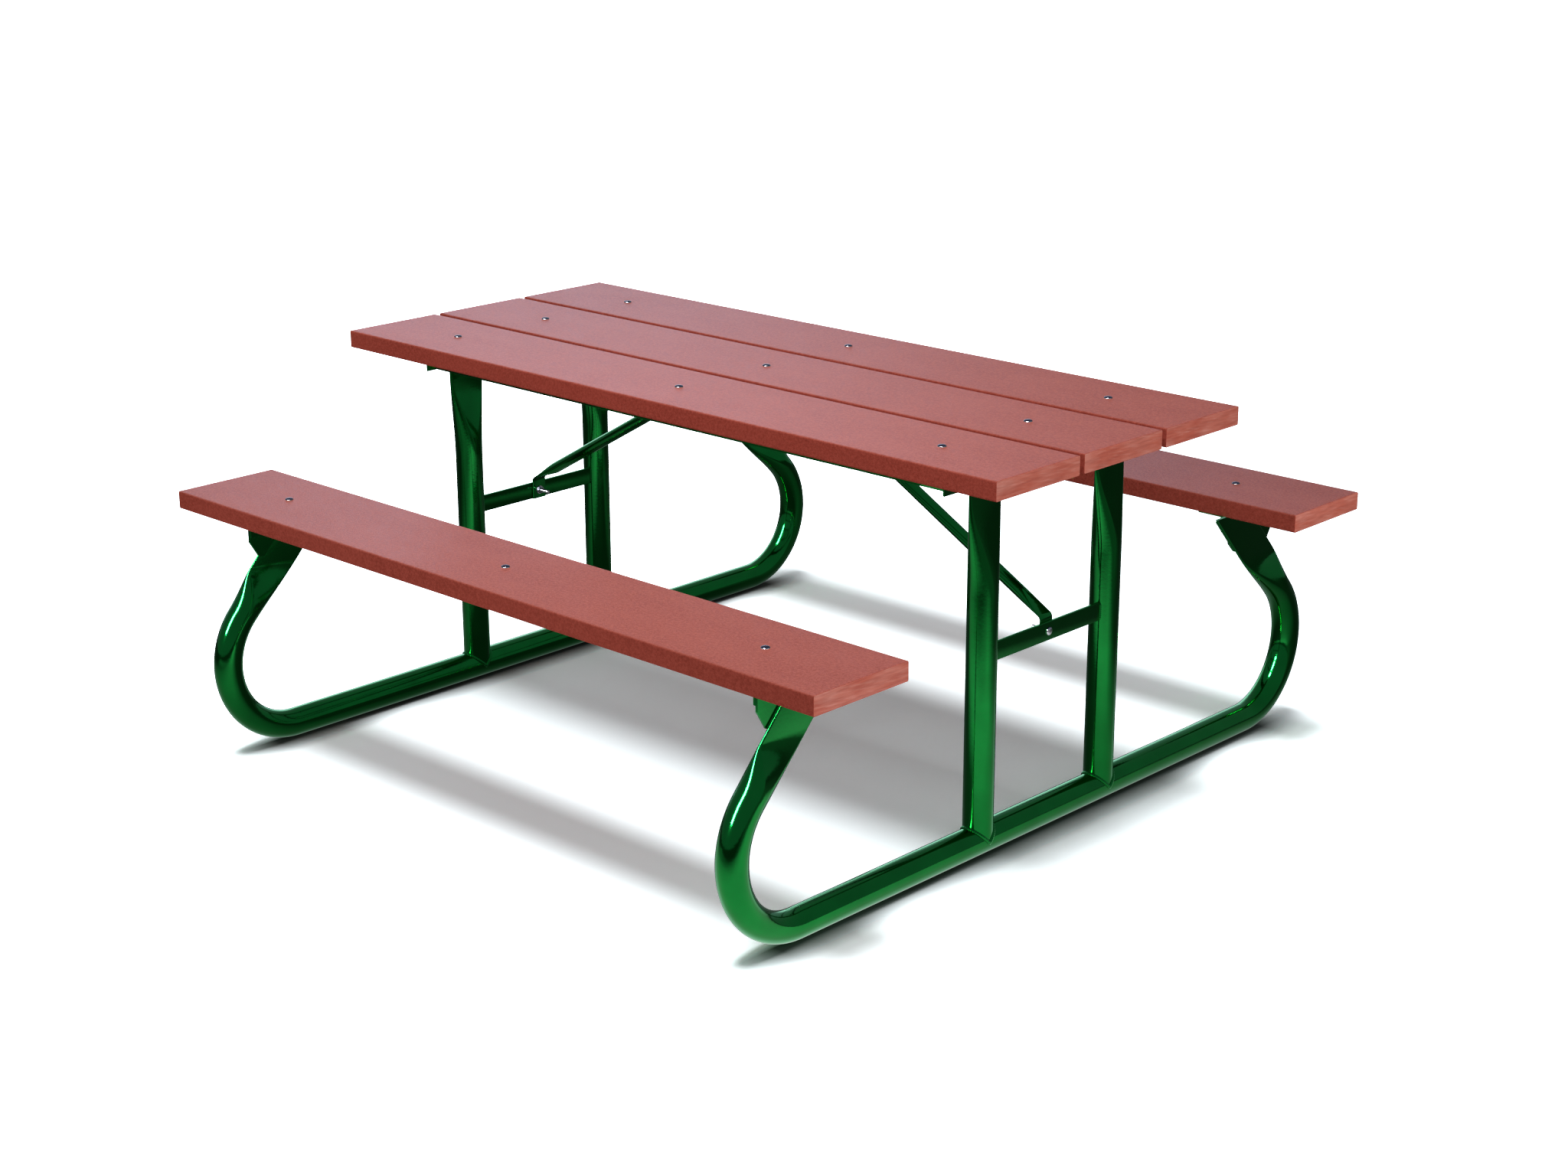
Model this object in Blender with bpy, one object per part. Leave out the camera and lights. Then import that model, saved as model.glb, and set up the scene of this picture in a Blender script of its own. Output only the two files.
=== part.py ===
"""Picnic table with two attached bench seats: plastic planks bolted to a welded tube frame.

Metres, +Z up. The origin is on the ground under the middle of the table, +X runs along the
planks and +Y across them. Two end frames stand in planes square to X. Each is one bent tube
that lies on the ground and curls up under both seats, with two upright posts between.
"""
import math

import bmesh
import bpy
from mathutils import Matrix, Vector

# Planks
PLANK_LENGTH = 1.829
PLANK_WIDTH = 0.241
PLANK_THICKNESS = 0.038
PLANK_GAP = 0.013
PLANK_EDGE_RADIUS = 0.0035
TABLE_HEIGHT = 0.814
SEAT_HEIGHT = 0.543
SEAT_CENTRE_Y = 0.7235
BOLT_INSET = 0.2265

# End frames: a bent tube and two posts of the same tube
FRAME_BEYOND_BOLTS = 0.054
TUBE_RADIUS = 0.03015
TUBE_WALL = 0.0028
TUBE_SLIT = 0.0006
RAIL_END_INSET = 0.0185
BEND_RADIUS = 0.161
BEND_ANGLE = math.radians(132.5)
CURL_FLAT_DROP = 0.105
POST_Y = 0.192
POST_FLAT_LENGTH = 0.05
POST_TAPER_LENGTH = 0.20

# Angle bars under the planks
ANGLE_FLANGE = 0.0635
ANGLE_LEG = 0.038
LONG_ANGLE_LEG = 0.032
ANGLE_THICKNESS = 0.005
CROSS_HALF_LENGTH = 0.305
LONG_ANGLE_Y = 0.295
SEAT_BRACKET_INWARDS = 0.110
SEAT_BRACKET_OUTWARDS = 0.0735
GUSSET_THICKNESS = 0.005
GUSSET_OUTER_DROP = 0.049
GUSSET_INNER_DROP = 0.067
GUSSET_LAP = 0.010
BAR_EDGE = 0.0006

# Tie bars and braces
TIE_HEIGHT = 0.408
TIE_WIDTH = 0.038
TIE_THICKNESS = 0.006
TIE_OFFSET = 0.008
BRACE_RADIUS = 0.0127
BRACE_WALL = 0.00165
BRACE_KNEE_RISE = 0.029
BRACE_KNEE_RADIUS = 0.010
BRACE_HEAD_X = 0.150
BRACE_HEAD_RADIUS = 0.045
BRACE_TAB_END = 0.018
BRACE_FLARE = 0.070

# Fasteners
SHANK_RADIUS = 0.004
HOLE_RADIUS = 0.0046
HEAD_RADIUS = 0.0086
HEAD_HEIGHT = 0.0042
BOLT_SEAT_RADIUS = 0.0097
BOLT_SEAT_DEPTH = 0.0003
NUT_ACROSS_FLATS = 0.0127
NUT_HEIGHT = 0.0068
WASHER_RADIUS = 0.0095
WASHER_THICKNESS = 0.0016
BOLT_STICK_OUT = 0.007
TIE_BOLT_STICK_OUT = 0.022

# Clearances: between touching pieces, between a coped tube and the one it is welded to
GAP = 0.0003
COPE_GAP = 0.0009

# Mesh fineness
TUBE_SIDES = 16
BRACE_SIDES = 8
BOLT_SIDES = 12
BEND_STEPS = 10
FLARE_STEPS = 6
POST_TAPER_STEPS = 4
BRACE_KNEE_STEPS = 3
BRACE_FLARE_STEPS = 4
BRACE_HEAD_STEPS = 2
HEAD_RING_ANGLES = (20, 60)
SMOOTH_ANGLE = 35

# Levels and lines that follow from the sizes above
TOP_UNDERSIDE = TABLE_HEIGHT - PLANK_THICKNESS
SEAT_UNDERSIDE = SEAT_HEIGHT - PLANK_THICKNESS
PLANK_PITCH = PLANK_WIDTH + PLANK_GAP
BOLT_X = PLANK_LENGTH / 2 - BOLT_INSET
FRAME_X = BOLT_X + FRAME_BEYOND_BOLTS
RAIL_HALF_LENGTH = SEAT_CENTRE_Y - RAIL_END_INSET
SEAT_BRACKET_INNER_Y = SEAT_CENTRE_Y - SEAT_BRACKET_INWARDS
SEAT_BRACKET_OUTER_Y = SEAT_CENTRE_Y + SEAT_BRACKET_OUTWARDS
TUBE_FLAT_HALF = TUBE_WALL + TUBE_SLIT / 2
CROSS_HEEL_X = FRAME_X - TUBE_FLAT_HALF - GAP
GUSSET_OUTER_X = CROSS_HEEL_X
BRACKET_HEEL_X = GUSSET_OUTER_X - GUSSET_THICKNESS - GAP

X_AXIS = Vector((1, 0, 0))
Y_AXIS = Vector((0, 1, 0))
Z_AXIS = Vector((0, 0, 1))


def clear_scene():
    for obj in list(bpy.data.objects):
        bpy.data.objects.remove(obj, do_unlink=True)


def make_material(name, color, roughness, metallic):
    material = bpy.data.materials.new(name)
    material.use_nodes = True
    shader = material.node_tree.nodes["Principled BSDF"]
    shader.inputs["Base Color"].default_value = (*color, 1.0)
    shader.inputs["Roughness"].default_value = roughness
    shader.inputs["Metallic"].default_value = metallic
    material.diffuse_color = (*color, 1.0)
    return material


def add_object(name, mesh, material):
    if not mesh.materials:
        mesh.materials.append(material)
    obj = bpy.data.objects.new(name, mesh)
    bpy.context.scene.collection.objects.link(obj)
    return obj


def finish_mesh(name, bm, smooth=False):
    """Turn a bmesh into a mesh whose faces point out, with round surfaces shaded smooth."""
    bmesh.ops.recalc_face_normals(bm, faces=bm.faces)
    mesh = bpy.data.meshes.new(name)
    bm.to_mesh(mesh)
    bm.free()
    if smooth:
        mesh.shade_smooth()
        mesh.set_sharp_from_angle(angle=math.radians(SMOOTH_ANGLE))
    return mesh


def skin_rings(name, rings, closed, smooth=True):
    """Join rings of points into one skin, as a closed loop of rings or capped at both ends."""
    bm = bmesh.new()
    loops = [[bm.verts.new(point) for point in ring] for ring in rings]
    pairs = list(zip(loops, loops[1:]))
    if closed:
        pairs.append((loops[-1], loops[0]))
    else:
        bm.faces.new(loops[0])
        bm.faces.new(loops[-1])
    for first, second in pairs:
        count = len(first)
        for i in range(count):
            j = (i + 1) % count
            bm.faces.new((first[i], first[j], second[j], second[i]))
    return finish_mesh(name, bm, smooth)


def box_mesh(name, low, high):
    bm = bmesh.new()
    bmesh.ops.create_cube(bm, size=1.0)
    size = Vector(high) - Vector(low)
    bmesh.ops.scale(bm, vec=size, verts=bm.verts)
    bmesh.ops.translate(bm, vec=(Vector(high) + Vector(low)) / 2, verts=bm.verts)
    return finish_mesh(name, bm)


def prism_mesh(name, outline, direction):
    """Extrude a flat outline, given as points in space, along a direction."""
    bm = bmesh.new()
    face = bm.faces.new([bm.verts.new(point) for point in outline])
    grown = bmesh.ops.extrude_face_region(bm, geom=[face])
    moved = [item for item in grown["geom"] if isinstance(item, bmesh.types.BMVert)]
    bmesh.ops.translate(bm, vec=direction, verts=moved)
    return finish_mesh(name, bm)


def add_bevel(obj, width, segments):
    bevel = obj.modifiers.new("eased_edges", "BEVEL")
    bevel.width = width
    bevel.segments = segments
    bevel.limit_method = "ANGLE"


def cut_away(obj, bm):
    """Subtract the closed bodies of a bmesh from an object."""
    cutter = bpy.data.objects.new(obj.name + "_cutter", finish_mesh(obj.name + "_cutter", bm))
    bpy.context.scene.collection.objects.link(cutter)
    cutter.hide_render = True
    cutter.display_type = "WIRE"
    boolean = obj.modifiers.new("cut", "BOOLEAN")
    boolean.operation = "DIFFERENCE"
    boolean.object = cutter


def add_hole(bm, centre, axis, depth, radius=HOLE_RADIUS):
    """Add the body of a bolt hole to a cutter."""
    turn = Z_AXIS.rotation_difference(axis).to_matrix().to_4x4()
    bmesh.ops.create_cone(bm, cap_ends=True, segments=BOLT_SIDES, radius1=radius,
                          radius2=radius, depth=depth,
                          matrix=Matrix.Translation(centre) @ turn)


def add_block(bm, low, high):
    """Add a box to a cutter."""
    low, high = Vector(low), Vector(high)
    cube = bmesh.ops.create_cube(bm, size=1.0)
    bmesh.ops.scale(bm, vec=high - low, verts=cube["verts"])
    bmesh.ops.translate(bm, vec=(low + high) / 2, verts=cube["verts"])


def drill(obj, centres, axis, depth, radius=HOLE_RADIUS):
    bm = bmesh.new()
    for centre in centres:
        add_hole(bm, Vector(centre), axis, depth, radius)
    cut_away(obj, bm)


def walk(start, heading, moves):
    """Follow straights and arcs in a plane from a start point.

    A straight is (length, steps) and an arc is (radius, angle, steps), turning left.
    Returns the stations as (distance, point, tangent), all in the plane's two coordinates.
    """
    point = Vector(start)
    distance = 0.0
    stations = [(distance, point.copy(), Vector((math.cos(heading), math.sin(heading))))]
    for move in moves:
        if len(move) == 2:
            length, steps = move
            tangent = Vector((math.cos(heading), math.sin(heading)))
            for _ in range(steps):
                point = point + tangent * (length / steps)
                distance += length / steps
                stations.append((distance, point.copy(), tangent.copy()))
        else:
            radius, angle, steps = move
            centre = point + Vector((-math.sin(heading), math.cos(heading))) * radius
            for _ in range(steps):
                heading += angle / steps
                distance += radius * angle / steps
                point = centre + Vector((math.sin(heading), -math.cos(heading))) * radius
                stations.append((distance, point.copy(),
                                 Vector((math.cos(heading), math.sin(heading)))))
    return stations


def squashed(radius, flat_half, share):
    """Half thickness and half width of a tube pressed flat by a share, its girth kept."""
    thin = radius + (flat_half - radius) * share
    wide = thin + (radius - thin) * math.pi / 2
    return thin, wide


def ease(value):
    value = min(max(value, 0.0), 1.0)
    return value * value * (3 - 2 * value)


def tube_ring(centre, side, normal, half_side, half_normal, sides):
    """One cross-section with straight flanks and round ends; its flats lie on the true size."""
    small = min(half_side, half_normal)
    corner = small / math.cos(math.pi / sides)
    ring = []
    for k in range(sides):
        turn = (k + 0.5) * 2 * math.pi / sides
        u = corner * math.sin(turn) + math.copysign(half_side - small, math.sin(turn))
        v = corner * math.cos(turn) + math.copysign(half_normal - small, math.cos(turn))
        ring.append(centre + side * u + normal * v)
    return ring


def hollow_tube(name, sections, wall, sides):
    """Skin a tube with a real wall; a section is (centre, side, normal, half, half)."""
    outer = [tube_ring(c, s, n, a, b, sides) for c, s, n, a, b in sections]
    inner = [tube_ring(c, s, n, a - wall, b - wall, sides) for c, s, n, a, b in sections]
    return skin_rings(name, outer + inner[::-1], closed=True)


def make_plank(name, centre_y, top, material):
    """A moulded plank with eased edges and three bolt holes.

    Each hole has a shallow seat pressed by its bolt's head, so the top's plain face stays clear.
    """
    half = Vector((PLANK_LENGTH, PLANK_WIDTH, 0)) / 2
    middle = Vector((0, centre_y, top))
    bolt_row = (-BOLT_X, 0.0, BOLT_X)
    bm = bmesh.new()
    add_block(bm, middle - half - Z_AXIS * PLANK_THICKNESS, middle + half)
    plank = add_object(name, finish_mesh(name, bm), material)
    add_bevel(plank, PLANK_EDGE_RADIUS, 2)
    centres = [(x, centre_y, top - PLANK_THICKNESS / 2) for x in bolt_row]
    drill(plank, centres, Z_AXIS, 2 * PLANK_THICKNESS)
    seats = [(x, centre_y, top) for x in bolt_row]
    drill(plank, seats, Z_AXIS, 2 * BOLT_SEAT_DEPTH, BOLT_SEAT_RADIUS)
    return plank


def curl_stations():
    """Stations of half a frame tube in its own plane, from the middle of the rail to the tip."""
    rise_start = TUBE_RADIUS + BEND_RADIUS * (1 - math.cos(BEND_ANGLE))
    tip_height = SEAT_UNDERSIDE - GAP
    rise = (tip_height - rise_start) / math.sin(BEND_ANGLE)
    flat = CURL_FLAT_DROP / math.sin(BEND_ANGLE)
    moves = [(RAIL_HALF_LENGTH, 1), (BEND_RADIUS, BEND_ANGLE, BEND_STEPS),
             (rise - flat, FLARE_STEPS), (flat, 1)]
    stations = walk((0.0, TUBE_RADIUS), 0.0, moves)
    bend_end = RAIL_HALF_LENGTH + BEND_RADIUS * BEND_ANGLE
    return stations, bend_end, rise - flat


def curl_sections(x, side_sign):
    """Cross-sections of half a frame tube; the sections lean until the last ones lie level."""
    stations, bend_end, flare = curl_stations()
    side = X_AXIS
    sections = []
    for distance, point, tangent in stations:
        share = ease((distance - bend_end) / flare)
        thin, wide = squashed(TUBE_RADIUS, TUBE_FLAT_HALF, share)
        normal = Vector((tangent.y, -tangent.x))
        lean = min(max((distance - bend_end) / flare, 0.0), 1.0)
        if lean > 0:
            normal = normal - tangent * (lean * normal.y / tangent.y)
        centre = Vector((x, side_sign * point.x, point.y))
        across = Vector((0, side_sign * normal.x, normal.y))
        sections.append((centre, side, across, thin, wide))
    return sections


def make_frame_tube(name, x, material):
    """The bent tube: a ground rail whose ends curl up and in, pressed flat under the seats."""
    back = curl_sections(x, 1)
    front = curl_sections(x, -1)
    # The front half runs from its tip to the rail and leaves the shared middle section out
    sections = front[:0:-1] + back
    return add_object(name, hollow_tube(name, sections, TUBE_WALL, TUBE_SIDES), material)


def saddle(ring, x):
    """Cope the foot of a post over the rail that runs under it along Y."""
    reach = TUBE_RADIUS / math.cos(math.pi / TUBE_SIDES) + COPE_GAP
    return [Vector((p.x, p.y, TUBE_RADIUS + math.sqrt(reach ** 2 - (p.x - x) ** 2)))
            for p in ring]


def make_post(name, x, y, material):
    """An upright coped onto the rail, pressed flat at the top where it meets the cross angle."""
    top = TOP_UNDERSIDE - GAP
    taper_top = top - POST_FLAT_LENGTH
    levels = [(TUBE_RADIUS * 2, 0.0)]
    for step in range(POST_TAPER_STEPS + 1):
        part = step / POST_TAPER_STEPS
        levels.append((taper_top - POST_TAPER_LENGTH * (1 - part), ease(part)))
    levels.append((top, 1.0))
    outer, inner = [], []
    for level, share in levels:
        thin, wide = squashed(TUBE_RADIUS, TUBE_FLAT_HALF, share)
        centre = Vector((x, y, level))
        outer.append(tube_ring(centre, X_AXIS, Y_AXIS, thin, wide, TUBE_SIDES))
        inner.append(tube_ring(centre, X_AXIS, Y_AXIS, thin - TUBE_WALL, wide - TUBE_WALL,
                               TUBE_SIDES))
    outer[0] = saddle(outer[0], x)
    inner[0] = saddle(inner[0], x)
    return add_object(name, skin_rings(name, outer + inner[::-1], closed=True), material)


def angle_outline(heel, flange_way, leg):
    """An angle's cross-section: heel corner at the top, flange level, leg down.

    The heel is (across, top) and flange_way is +1 or -1 for where the flange reaches.
    """
    across, top = heel
    w = flange_way
    return [(across, top), (across + w * ANGLE_FLANGE, top),
            (across + w * ANGLE_FLANGE, top - ANGLE_THICKNESS),
            (across + w * ANGLE_THICKNESS, top - ANGLE_THICKNESS),
            (across + w * ANGLE_THICKNESS, top - leg), (across, top - leg)]


def make_y_angle(name, heel_x, flange_way, y_low, y_high, top, bolt_ys, material):
    """An angle bar that runs along Y."""
    section = angle_outline((heel_x, top), flange_way, ANGLE_LEG)
    outline = [(a, y_low, z) for a, z in section]
    bar = add_object(name, prism_mesh(name, outline, Y_AXIS * (y_high - y_low)), material)
    add_bevel(bar, BAR_EDGE, 1)
    centres = [(math.copysign(BOLT_X, heel_x), y, top) for y in bolt_ys]
    drill(bar, centres, Z_AXIS, 4 * ANGLE_THICKNESS)
    return bar


def make_x_angle(name, heel_y, flange_way, end_x, toe_x, top, bolt_y, material):
    """An angle bar that runs along X between two angles across it.

    Its leg reaches them at end_x; its flange stops at their flange toes, at toe_x.
    """
    section = angle_outline((heel_y, top), flange_way, LONG_ANGLE_LEG)
    outline = [(-end_x, a, z) for a, z in section]
    bar = add_object(name, prism_mesh(name, outline, X_AXIS * (2 * end_x)), material)
    add_bevel(bar, BAR_EDGE, 1)
    bm = bmesh.new()
    add_hole(bm, Vector((0, bolt_y, top)), Z_AXIS, 4 * ANGLE_THICKNESS)
    margin = ANGLE_THICKNESS
    y_ends = sorted((heel_y - flange_way * margin, heel_y + flange_way * (ANGLE_FLANGE + margin)))
    for sign in (-1, 1):
        x_ends = sorted((sign * (toe_x - GAP), sign * (end_x + margin)))
        add_block(bm, (x_ends[0], y_ends[0], top - ANGLE_THICKNESS - GAP),
                  (x_ends[1], y_ends[1], top + margin))
    cut_away(bar, bm)
    return bar


def tube_edge(side, height, inset):
    """Y of the flattened curl's outer (+1) or inner (-1) edge at a height, inset inwards."""
    tangent = Vector((math.cos(BEND_ANGLE), math.sin(BEND_ANGLE)))
    start_y = RAIL_HALF_LENGTH + BEND_RADIUS * math.sin(BEND_ANGLE)
    start_z = TUBE_RADIUS + BEND_RADIUS * (1 - math.cos(BEND_ANGLE))
    wide = squashed(TUBE_RADIUS, TUBE_FLAT_HALF, 1.0)[1]
    axis_y = start_y + (height - start_z) * tangent.x / tangent.y
    return axis_y + side * (wide - inset) / tangent.y


def make_gusset(name, side_x, side_y, material):
    """A plate behind the curl's flat tip: it fills the corners between the tip and the seat."""
    top = SEAT_UNDERSIDE - GAP
    tip = top - CURL_FLAT_DROP
    outer_tip = tip + GUSSET_LAP * 2
    inner_tip = top - GUSSET_INNER_DROP - GUSSET_LAP * 2
    arch = top - GUSSET_OUTER_DROP
    corners = [(SEAT_BRACKET_INNER_Y, top), (SEAT_BRACKET_OUTER_Y, top),
               (SEAT_BRACKET_OUTER_Y, top - GUSSET_OUTER_DROP),
               (tube_edge(1, outer_tip, 0.0), outer_tip),
               (tube_edge(1, outer_tip, GUSSET_LAP), outer_tip),
               (tube_edge(1, arch, GUSSET_LAP), arch),
               (tube_edge(-1, arch, GUSSET_LAP), arch),
               (tube_edge(-1, inner_tip, GUSSET_LAP), inner_tip),
               (tube_edge(-1, inner_tip, 0.0), inner_tip),
               (SEAT_BRACKET_INNER_Y + GUSSET_LAP * 2, top - GUSSET_INNER_DROP)]
    outline = [(side_x * GUSSET_OUTER_X, side_y * y, z) for y, z in corners]
    mesh = prism_mesh(name, outline, X_AXIS * (-side_x * GUSSET_THICKNESS))
    plate = add_object(name, mesh, material)
    add_bevel(plate, BAR_EDGE, 1)
    return plate


def make_strap(name, material):
    """The flat bar under the middle plank, from one long angle's flange to the other's."""
    half_y = LONG_ANGLE_Y - ANGLE_FLANGE - GAP
    top = TOP_UNDERSIDE - GAP
    mesh = box_mesh(name, (-ANGLE_FLANGE / 2, -half_y, top - ANGLE_THICKNESS),
                    (ANGLE_FLANGE / 2, half_y, top))
    strap = add_object(name, mesh, material)
    add_bevel(strap, BAR_EDGE, 1)
    drill(strap, [(0, 0, top)], Z_AXIS, 4 * ANGLE_THICKNESS)
    return strap


def tie_centre_x(side_x):
    """Both tie bars sit on the +X side of their posts, as the frames are the same weldment."""
    return side_x * FRAME_X + TIE_OFFSET


def make_tie_bar(name, side_x, material):
    """A flat bar between the posts of one frame, with one bolt hole in its middle."""
    x = tie_centre_x(side_x)
    reach = TUBE_RADIUS / math.cos(math.pi / TUBE_SIDES)
    near = TIE_OFFSET - TIE_THICKNESS / 2
    half_y = POST_Y - math.sqrt(reach ** 2 - near ** 2) - GAP
    mesh = box_mesh(name, (x - TIE_THICKNESS / 2, -half_y, TIE_HEIGHT - TIE_WIDTH / 2),
                    (x + TIE_THICKNESS / 2, half_y, TIE_HEIGHT + TIE_WIDTH / 2))
    bar = add_object(name, mesh, material)
    add_bevel(bar, BAR_EDGE, 1)
    drill(bar, [(x, 0, TIE_HEIGHT)], X_AXIS, 4 * TIE_THICKNESS)
    return bar


def brace_tab_half():
    return BRACE_WALL + TUBE_SLIT / 2


def brace_tab_level(layer):
    """Height of the middle of a brace's upper tab; layer 0 lies under the strap, 1 below it."""
    under_strap = TOP_UNDERSIDE - GAP - ANGLE_THICKNESS - GAP
    return under_strap - brace_tab_half() - layer * (2 * brace_tab_half() + GAP)


def brace_tab_x(side_x):
    """Distance from the middle of the table to the middle of a brace's lower tab."""
    face = tie_centre_x(side_x) - side_x * TIE_THICKNESS / 2
    return abs(face) - GAP - brace_tab_half()


def make_brace(name, side_x, layer, material):
    """A slanted tube pressed flat at both ends: one tab on the tie bar, one under the strap."""
    tab_x = brace_tab_x(side_x)
    foot = TIE_HEIGHT - TIE_WIDTH / 2
    knee = Vector((tab_x, TIE_HEIGHT + BRACE_KNEE_RISE))
    head = Vector((BRACE_HEAD_X, brace_tab_level(layer)))
    slope = math.atan2(head.y - knee.y, knee.x - head.x)
    knee_turn = math.pi / 2 - slope
    knee_cut = BRACE_KNEE_RADIUS * math.tan(knee_turn / 2)
    head_cut = BRACE_HEAD_RADIUS * math.tan(slope / 2)
    span = (head - knee).length - knee_cut - head_cut
    tab = BRACE_HEAD_X - head_cut + BRACE_TAB_END
    middle = span - 2 * BRACE_FLARE
    moves = [(knee.y - foot - knee_cut, 1), (BRACE_KNEE_RADIUS, knee_turn, BRACE_KNEE_STEPS),
             (BRACE_FLARE, BRACE_FLARE_STEPS), (middle, 1), (BRACE_FLARE, BRACE_FLARE_STEPS),
             (BRACE_HEAD_RADIUS, slope, BRACE_HEAD_STEPS), (tab, 1)]
    # The walk turns left from straight up, so it runs towards smaller X
    stations = walk((tab_x, foot), math.pi / 2, moves)
    lower_flat = knee.y - foot - knee_cut + BRACE_KNEE_RADIUS * knee_turn
    upper_flat = lower_flat + span
    sections = []
    for distance, point, tangent in stations:
        from_flat = min(distance - lower_flat, upper_flat - distance)
        share = 1 - ease(from_flat / BRACE_FLARE)
        thin, wide = squashed(BRACE_RADIUS, brace_tab_half(), share)
        centre = Vector((side_x * point.x, 0, point.y))
        normal = Vector((side_x * tangent.y, 0, -tangent.x))
        sections.append((centre, Y_AXIS, normal, wide, thin))
    brace = add_object(name, hollow_tube(name, sections, BRACE_WALL, BRACE_SIDES), material)
    bm = bmesh.new()
    add_hole(bm, Vector((side_x * tab_x, 0, TIE_HEIGHT)), X_AXIS, BRACE_RADIUS)
    add_hole(bm, Vector((0, 0, brace_tab_level(layer))), Z_AXIS, BRACE_RADIUS)
    cut_away(brace, bm)
    return brace


def round_ring(radius, height, sides=BOLT_SIDES):
    return [Vector((radius * math.cos(2 * math.pi * k / sides),
                    radius * math.sin(2 * math.pi * k / sides), height))
            for k in range(sides)]


def hex_ring(height):
    """A hexagon with a point at each corner and at the middle of each flat."""
    ring = []
    for k in range(BOLT_SIDES):
        turn = 2 * math.pi * k / BOLT_SIDES
        from_flat = (turn + math.pi / 6) % (math.pi / 3) - math.pi / 6
        radius = NUT_ACROSS_FLATS / 2 / math.cos(from_flat)
        ring.append(Vector((radius * math.cos(turn), radius * math.sin(turn), height)))
    return ring


def head_rings():
    """The round head of a bolt, from its crown down to the shank under it."""
    rings = []
    for turn in HEAD_RING_ANGLES:
        angle = math.radians(turn)
        rings.append(round_ring(HEAD_RADIUS * math.sin(angle), HEAD_HEIGHT * math.cos(angle)))
    return rings + [round_ring(HEAD_RADIUS, 0.0), round_ring(SHANK_RADIUS, 0.0)]


def end_rings(end):
    """The chamfered end of a bolt."""
    chamfer = SHANK_RADIUS / 4
    return [round_ring(SHANK_RADIUS, end + chamfer), round_ring(SHANK_RADIUS - chamfer, end)]


def bolt_mesh(name, grip, stick_out):
    """A round-head bolt: the head sits on z = 0 and the shank hangs below."""
    end = -(grip + WASHER_THICKNESS + NUT_HEIGHT + stick_out)
    return skin_rings(name, head_rings() + end_rings(end), closed=False)


def bolt_with_nut_mesh(name, grip, stick_out):
    """The same bolt with its washer and nut already run on, as one piece."""
    washer_bottom = -grip - WASHER_THICKNESS
    nut_bottom = washer_bottom - NUT_HEIGHT
    rings = head_rings() + [round_ring(SHANK_RADIUS, -grip), round_ring(WASHER_RADIUS, -grip),
                            round_ring(WASHER_RADIUS, washer_bottom), hex_ring(washer_bottom),
                            hex_ring(nut_bottom), round_ring(SHANK_RADIUS, nut_bottom)]
    return skin_rings(name, rings + end_rings(nut_bottom - stick_out), closed=False)


def nut_mesh(name):
    """A hexagon nut on its washer, hanging below z = 0, with the shank's clearance inside."""
    bore = SHANK_RADIUS + GAP
    bottom = -WASHER_THICKNESS - NUT_HEIGHT
    rings = [round_ring(bore, 0.0), round_ring(WASHER_RADIUS, 0.0),
             round_ring(WASHER_RADIUS, -WASHER_THICKNESS), hex_ring(-WASHER_THICKNESS),
             hex_ring(bottom), round_ring(bore, bottom)]
    return skin_rings(name, rings, closed=True)


def make_plank_fasteners(rows, material):
    """A bolt and a nut at each of the three stations along each plank.

    The middle station of a seat has the nut run on, which keeps the count of pieces down.
    """
    head_level = GAP - BOLT_SEAT_DEPTH
    grip = head_level + PLANK_THICKNESS + GAP + ANGLE_THICKNESS + GAP
    centre_grip = grip + 2 * (2 * brace_tab_half() + GAP)
    nut = nut_mesh("nut")
    plain = bolt_mesh("plank_bolt", grip, BOLT_STICK_OUT)
    deep = bolt_mesh("centre_bolt", centre_grip, BOLT_STICK_OUT)
    with_nut = bolt_with_nut_mesh("seat_rail_bolt", grip, BOLT_STICK_OUT)
    for row, y, top in rows:
        for station, x in (("left", -BOLT_X), ("middle", 0.0), ("right", BOLT_X)):
            mesh, reach = plain, grip
            if x == 0.0 and y == 0.0:
                mesh, reach = deep, centre_grip
            run_on = x == 0.0 and top == SEAT_HEIGHT
            bolt = add_object(f"bolt_{row}_{station}", with_nut if run_on else mesh, material)
            bolt.location = (x, y, top + head_level)
            if not run_on:
                fastener = add_object(f"nut_{row}_{station}", nut, material)
                fastener.location = (x, y, top + head_level - reach)


def make_tie_bolt(name, side_x, material):
    """The bolt and nut that hold a brace's lower tab to its tie bar; the head faces outwards."""
    grip = TIE_THICKNESS + 2 * brace_tab_half() + 3 * GAP
    mesh = bolt_with_nut_mesh(name, grip, TIE_BOLT_STICK_OUT)
    bolt = add_object(name, mesh, material)
    outer_face = tie_centre_x(side_x) + side_x * (TIE_THICKNESS / 2 + GAP)
    bolt.location = (outer_face, 0, TIE_HEIGHT)
    bolt.rotation_euler = (0, side_x * math.pi / 2, 0)
    return bolt


def build_planks(material):
    rows = [("front", -PLANK_PITCH, TABLE_HEIGHT), ("centre", 0.0, TABLE_HEIGHT),
            ("back", PLANK_PITCH, TABLE_HEIGHT), ("seat_front", -SEAT_CENTRE_Y, SEAT_HEIGHT),
            ("seat_back", SEAT_CENTRE_Y, SEAT_HEIGHT)]
    for row, y, top in rows:
        name = f"{row}_plank" if row.startswith("seat") else f"top_plank_{row}"
        make_plank(name, y, top, material)
    return rows


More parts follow.
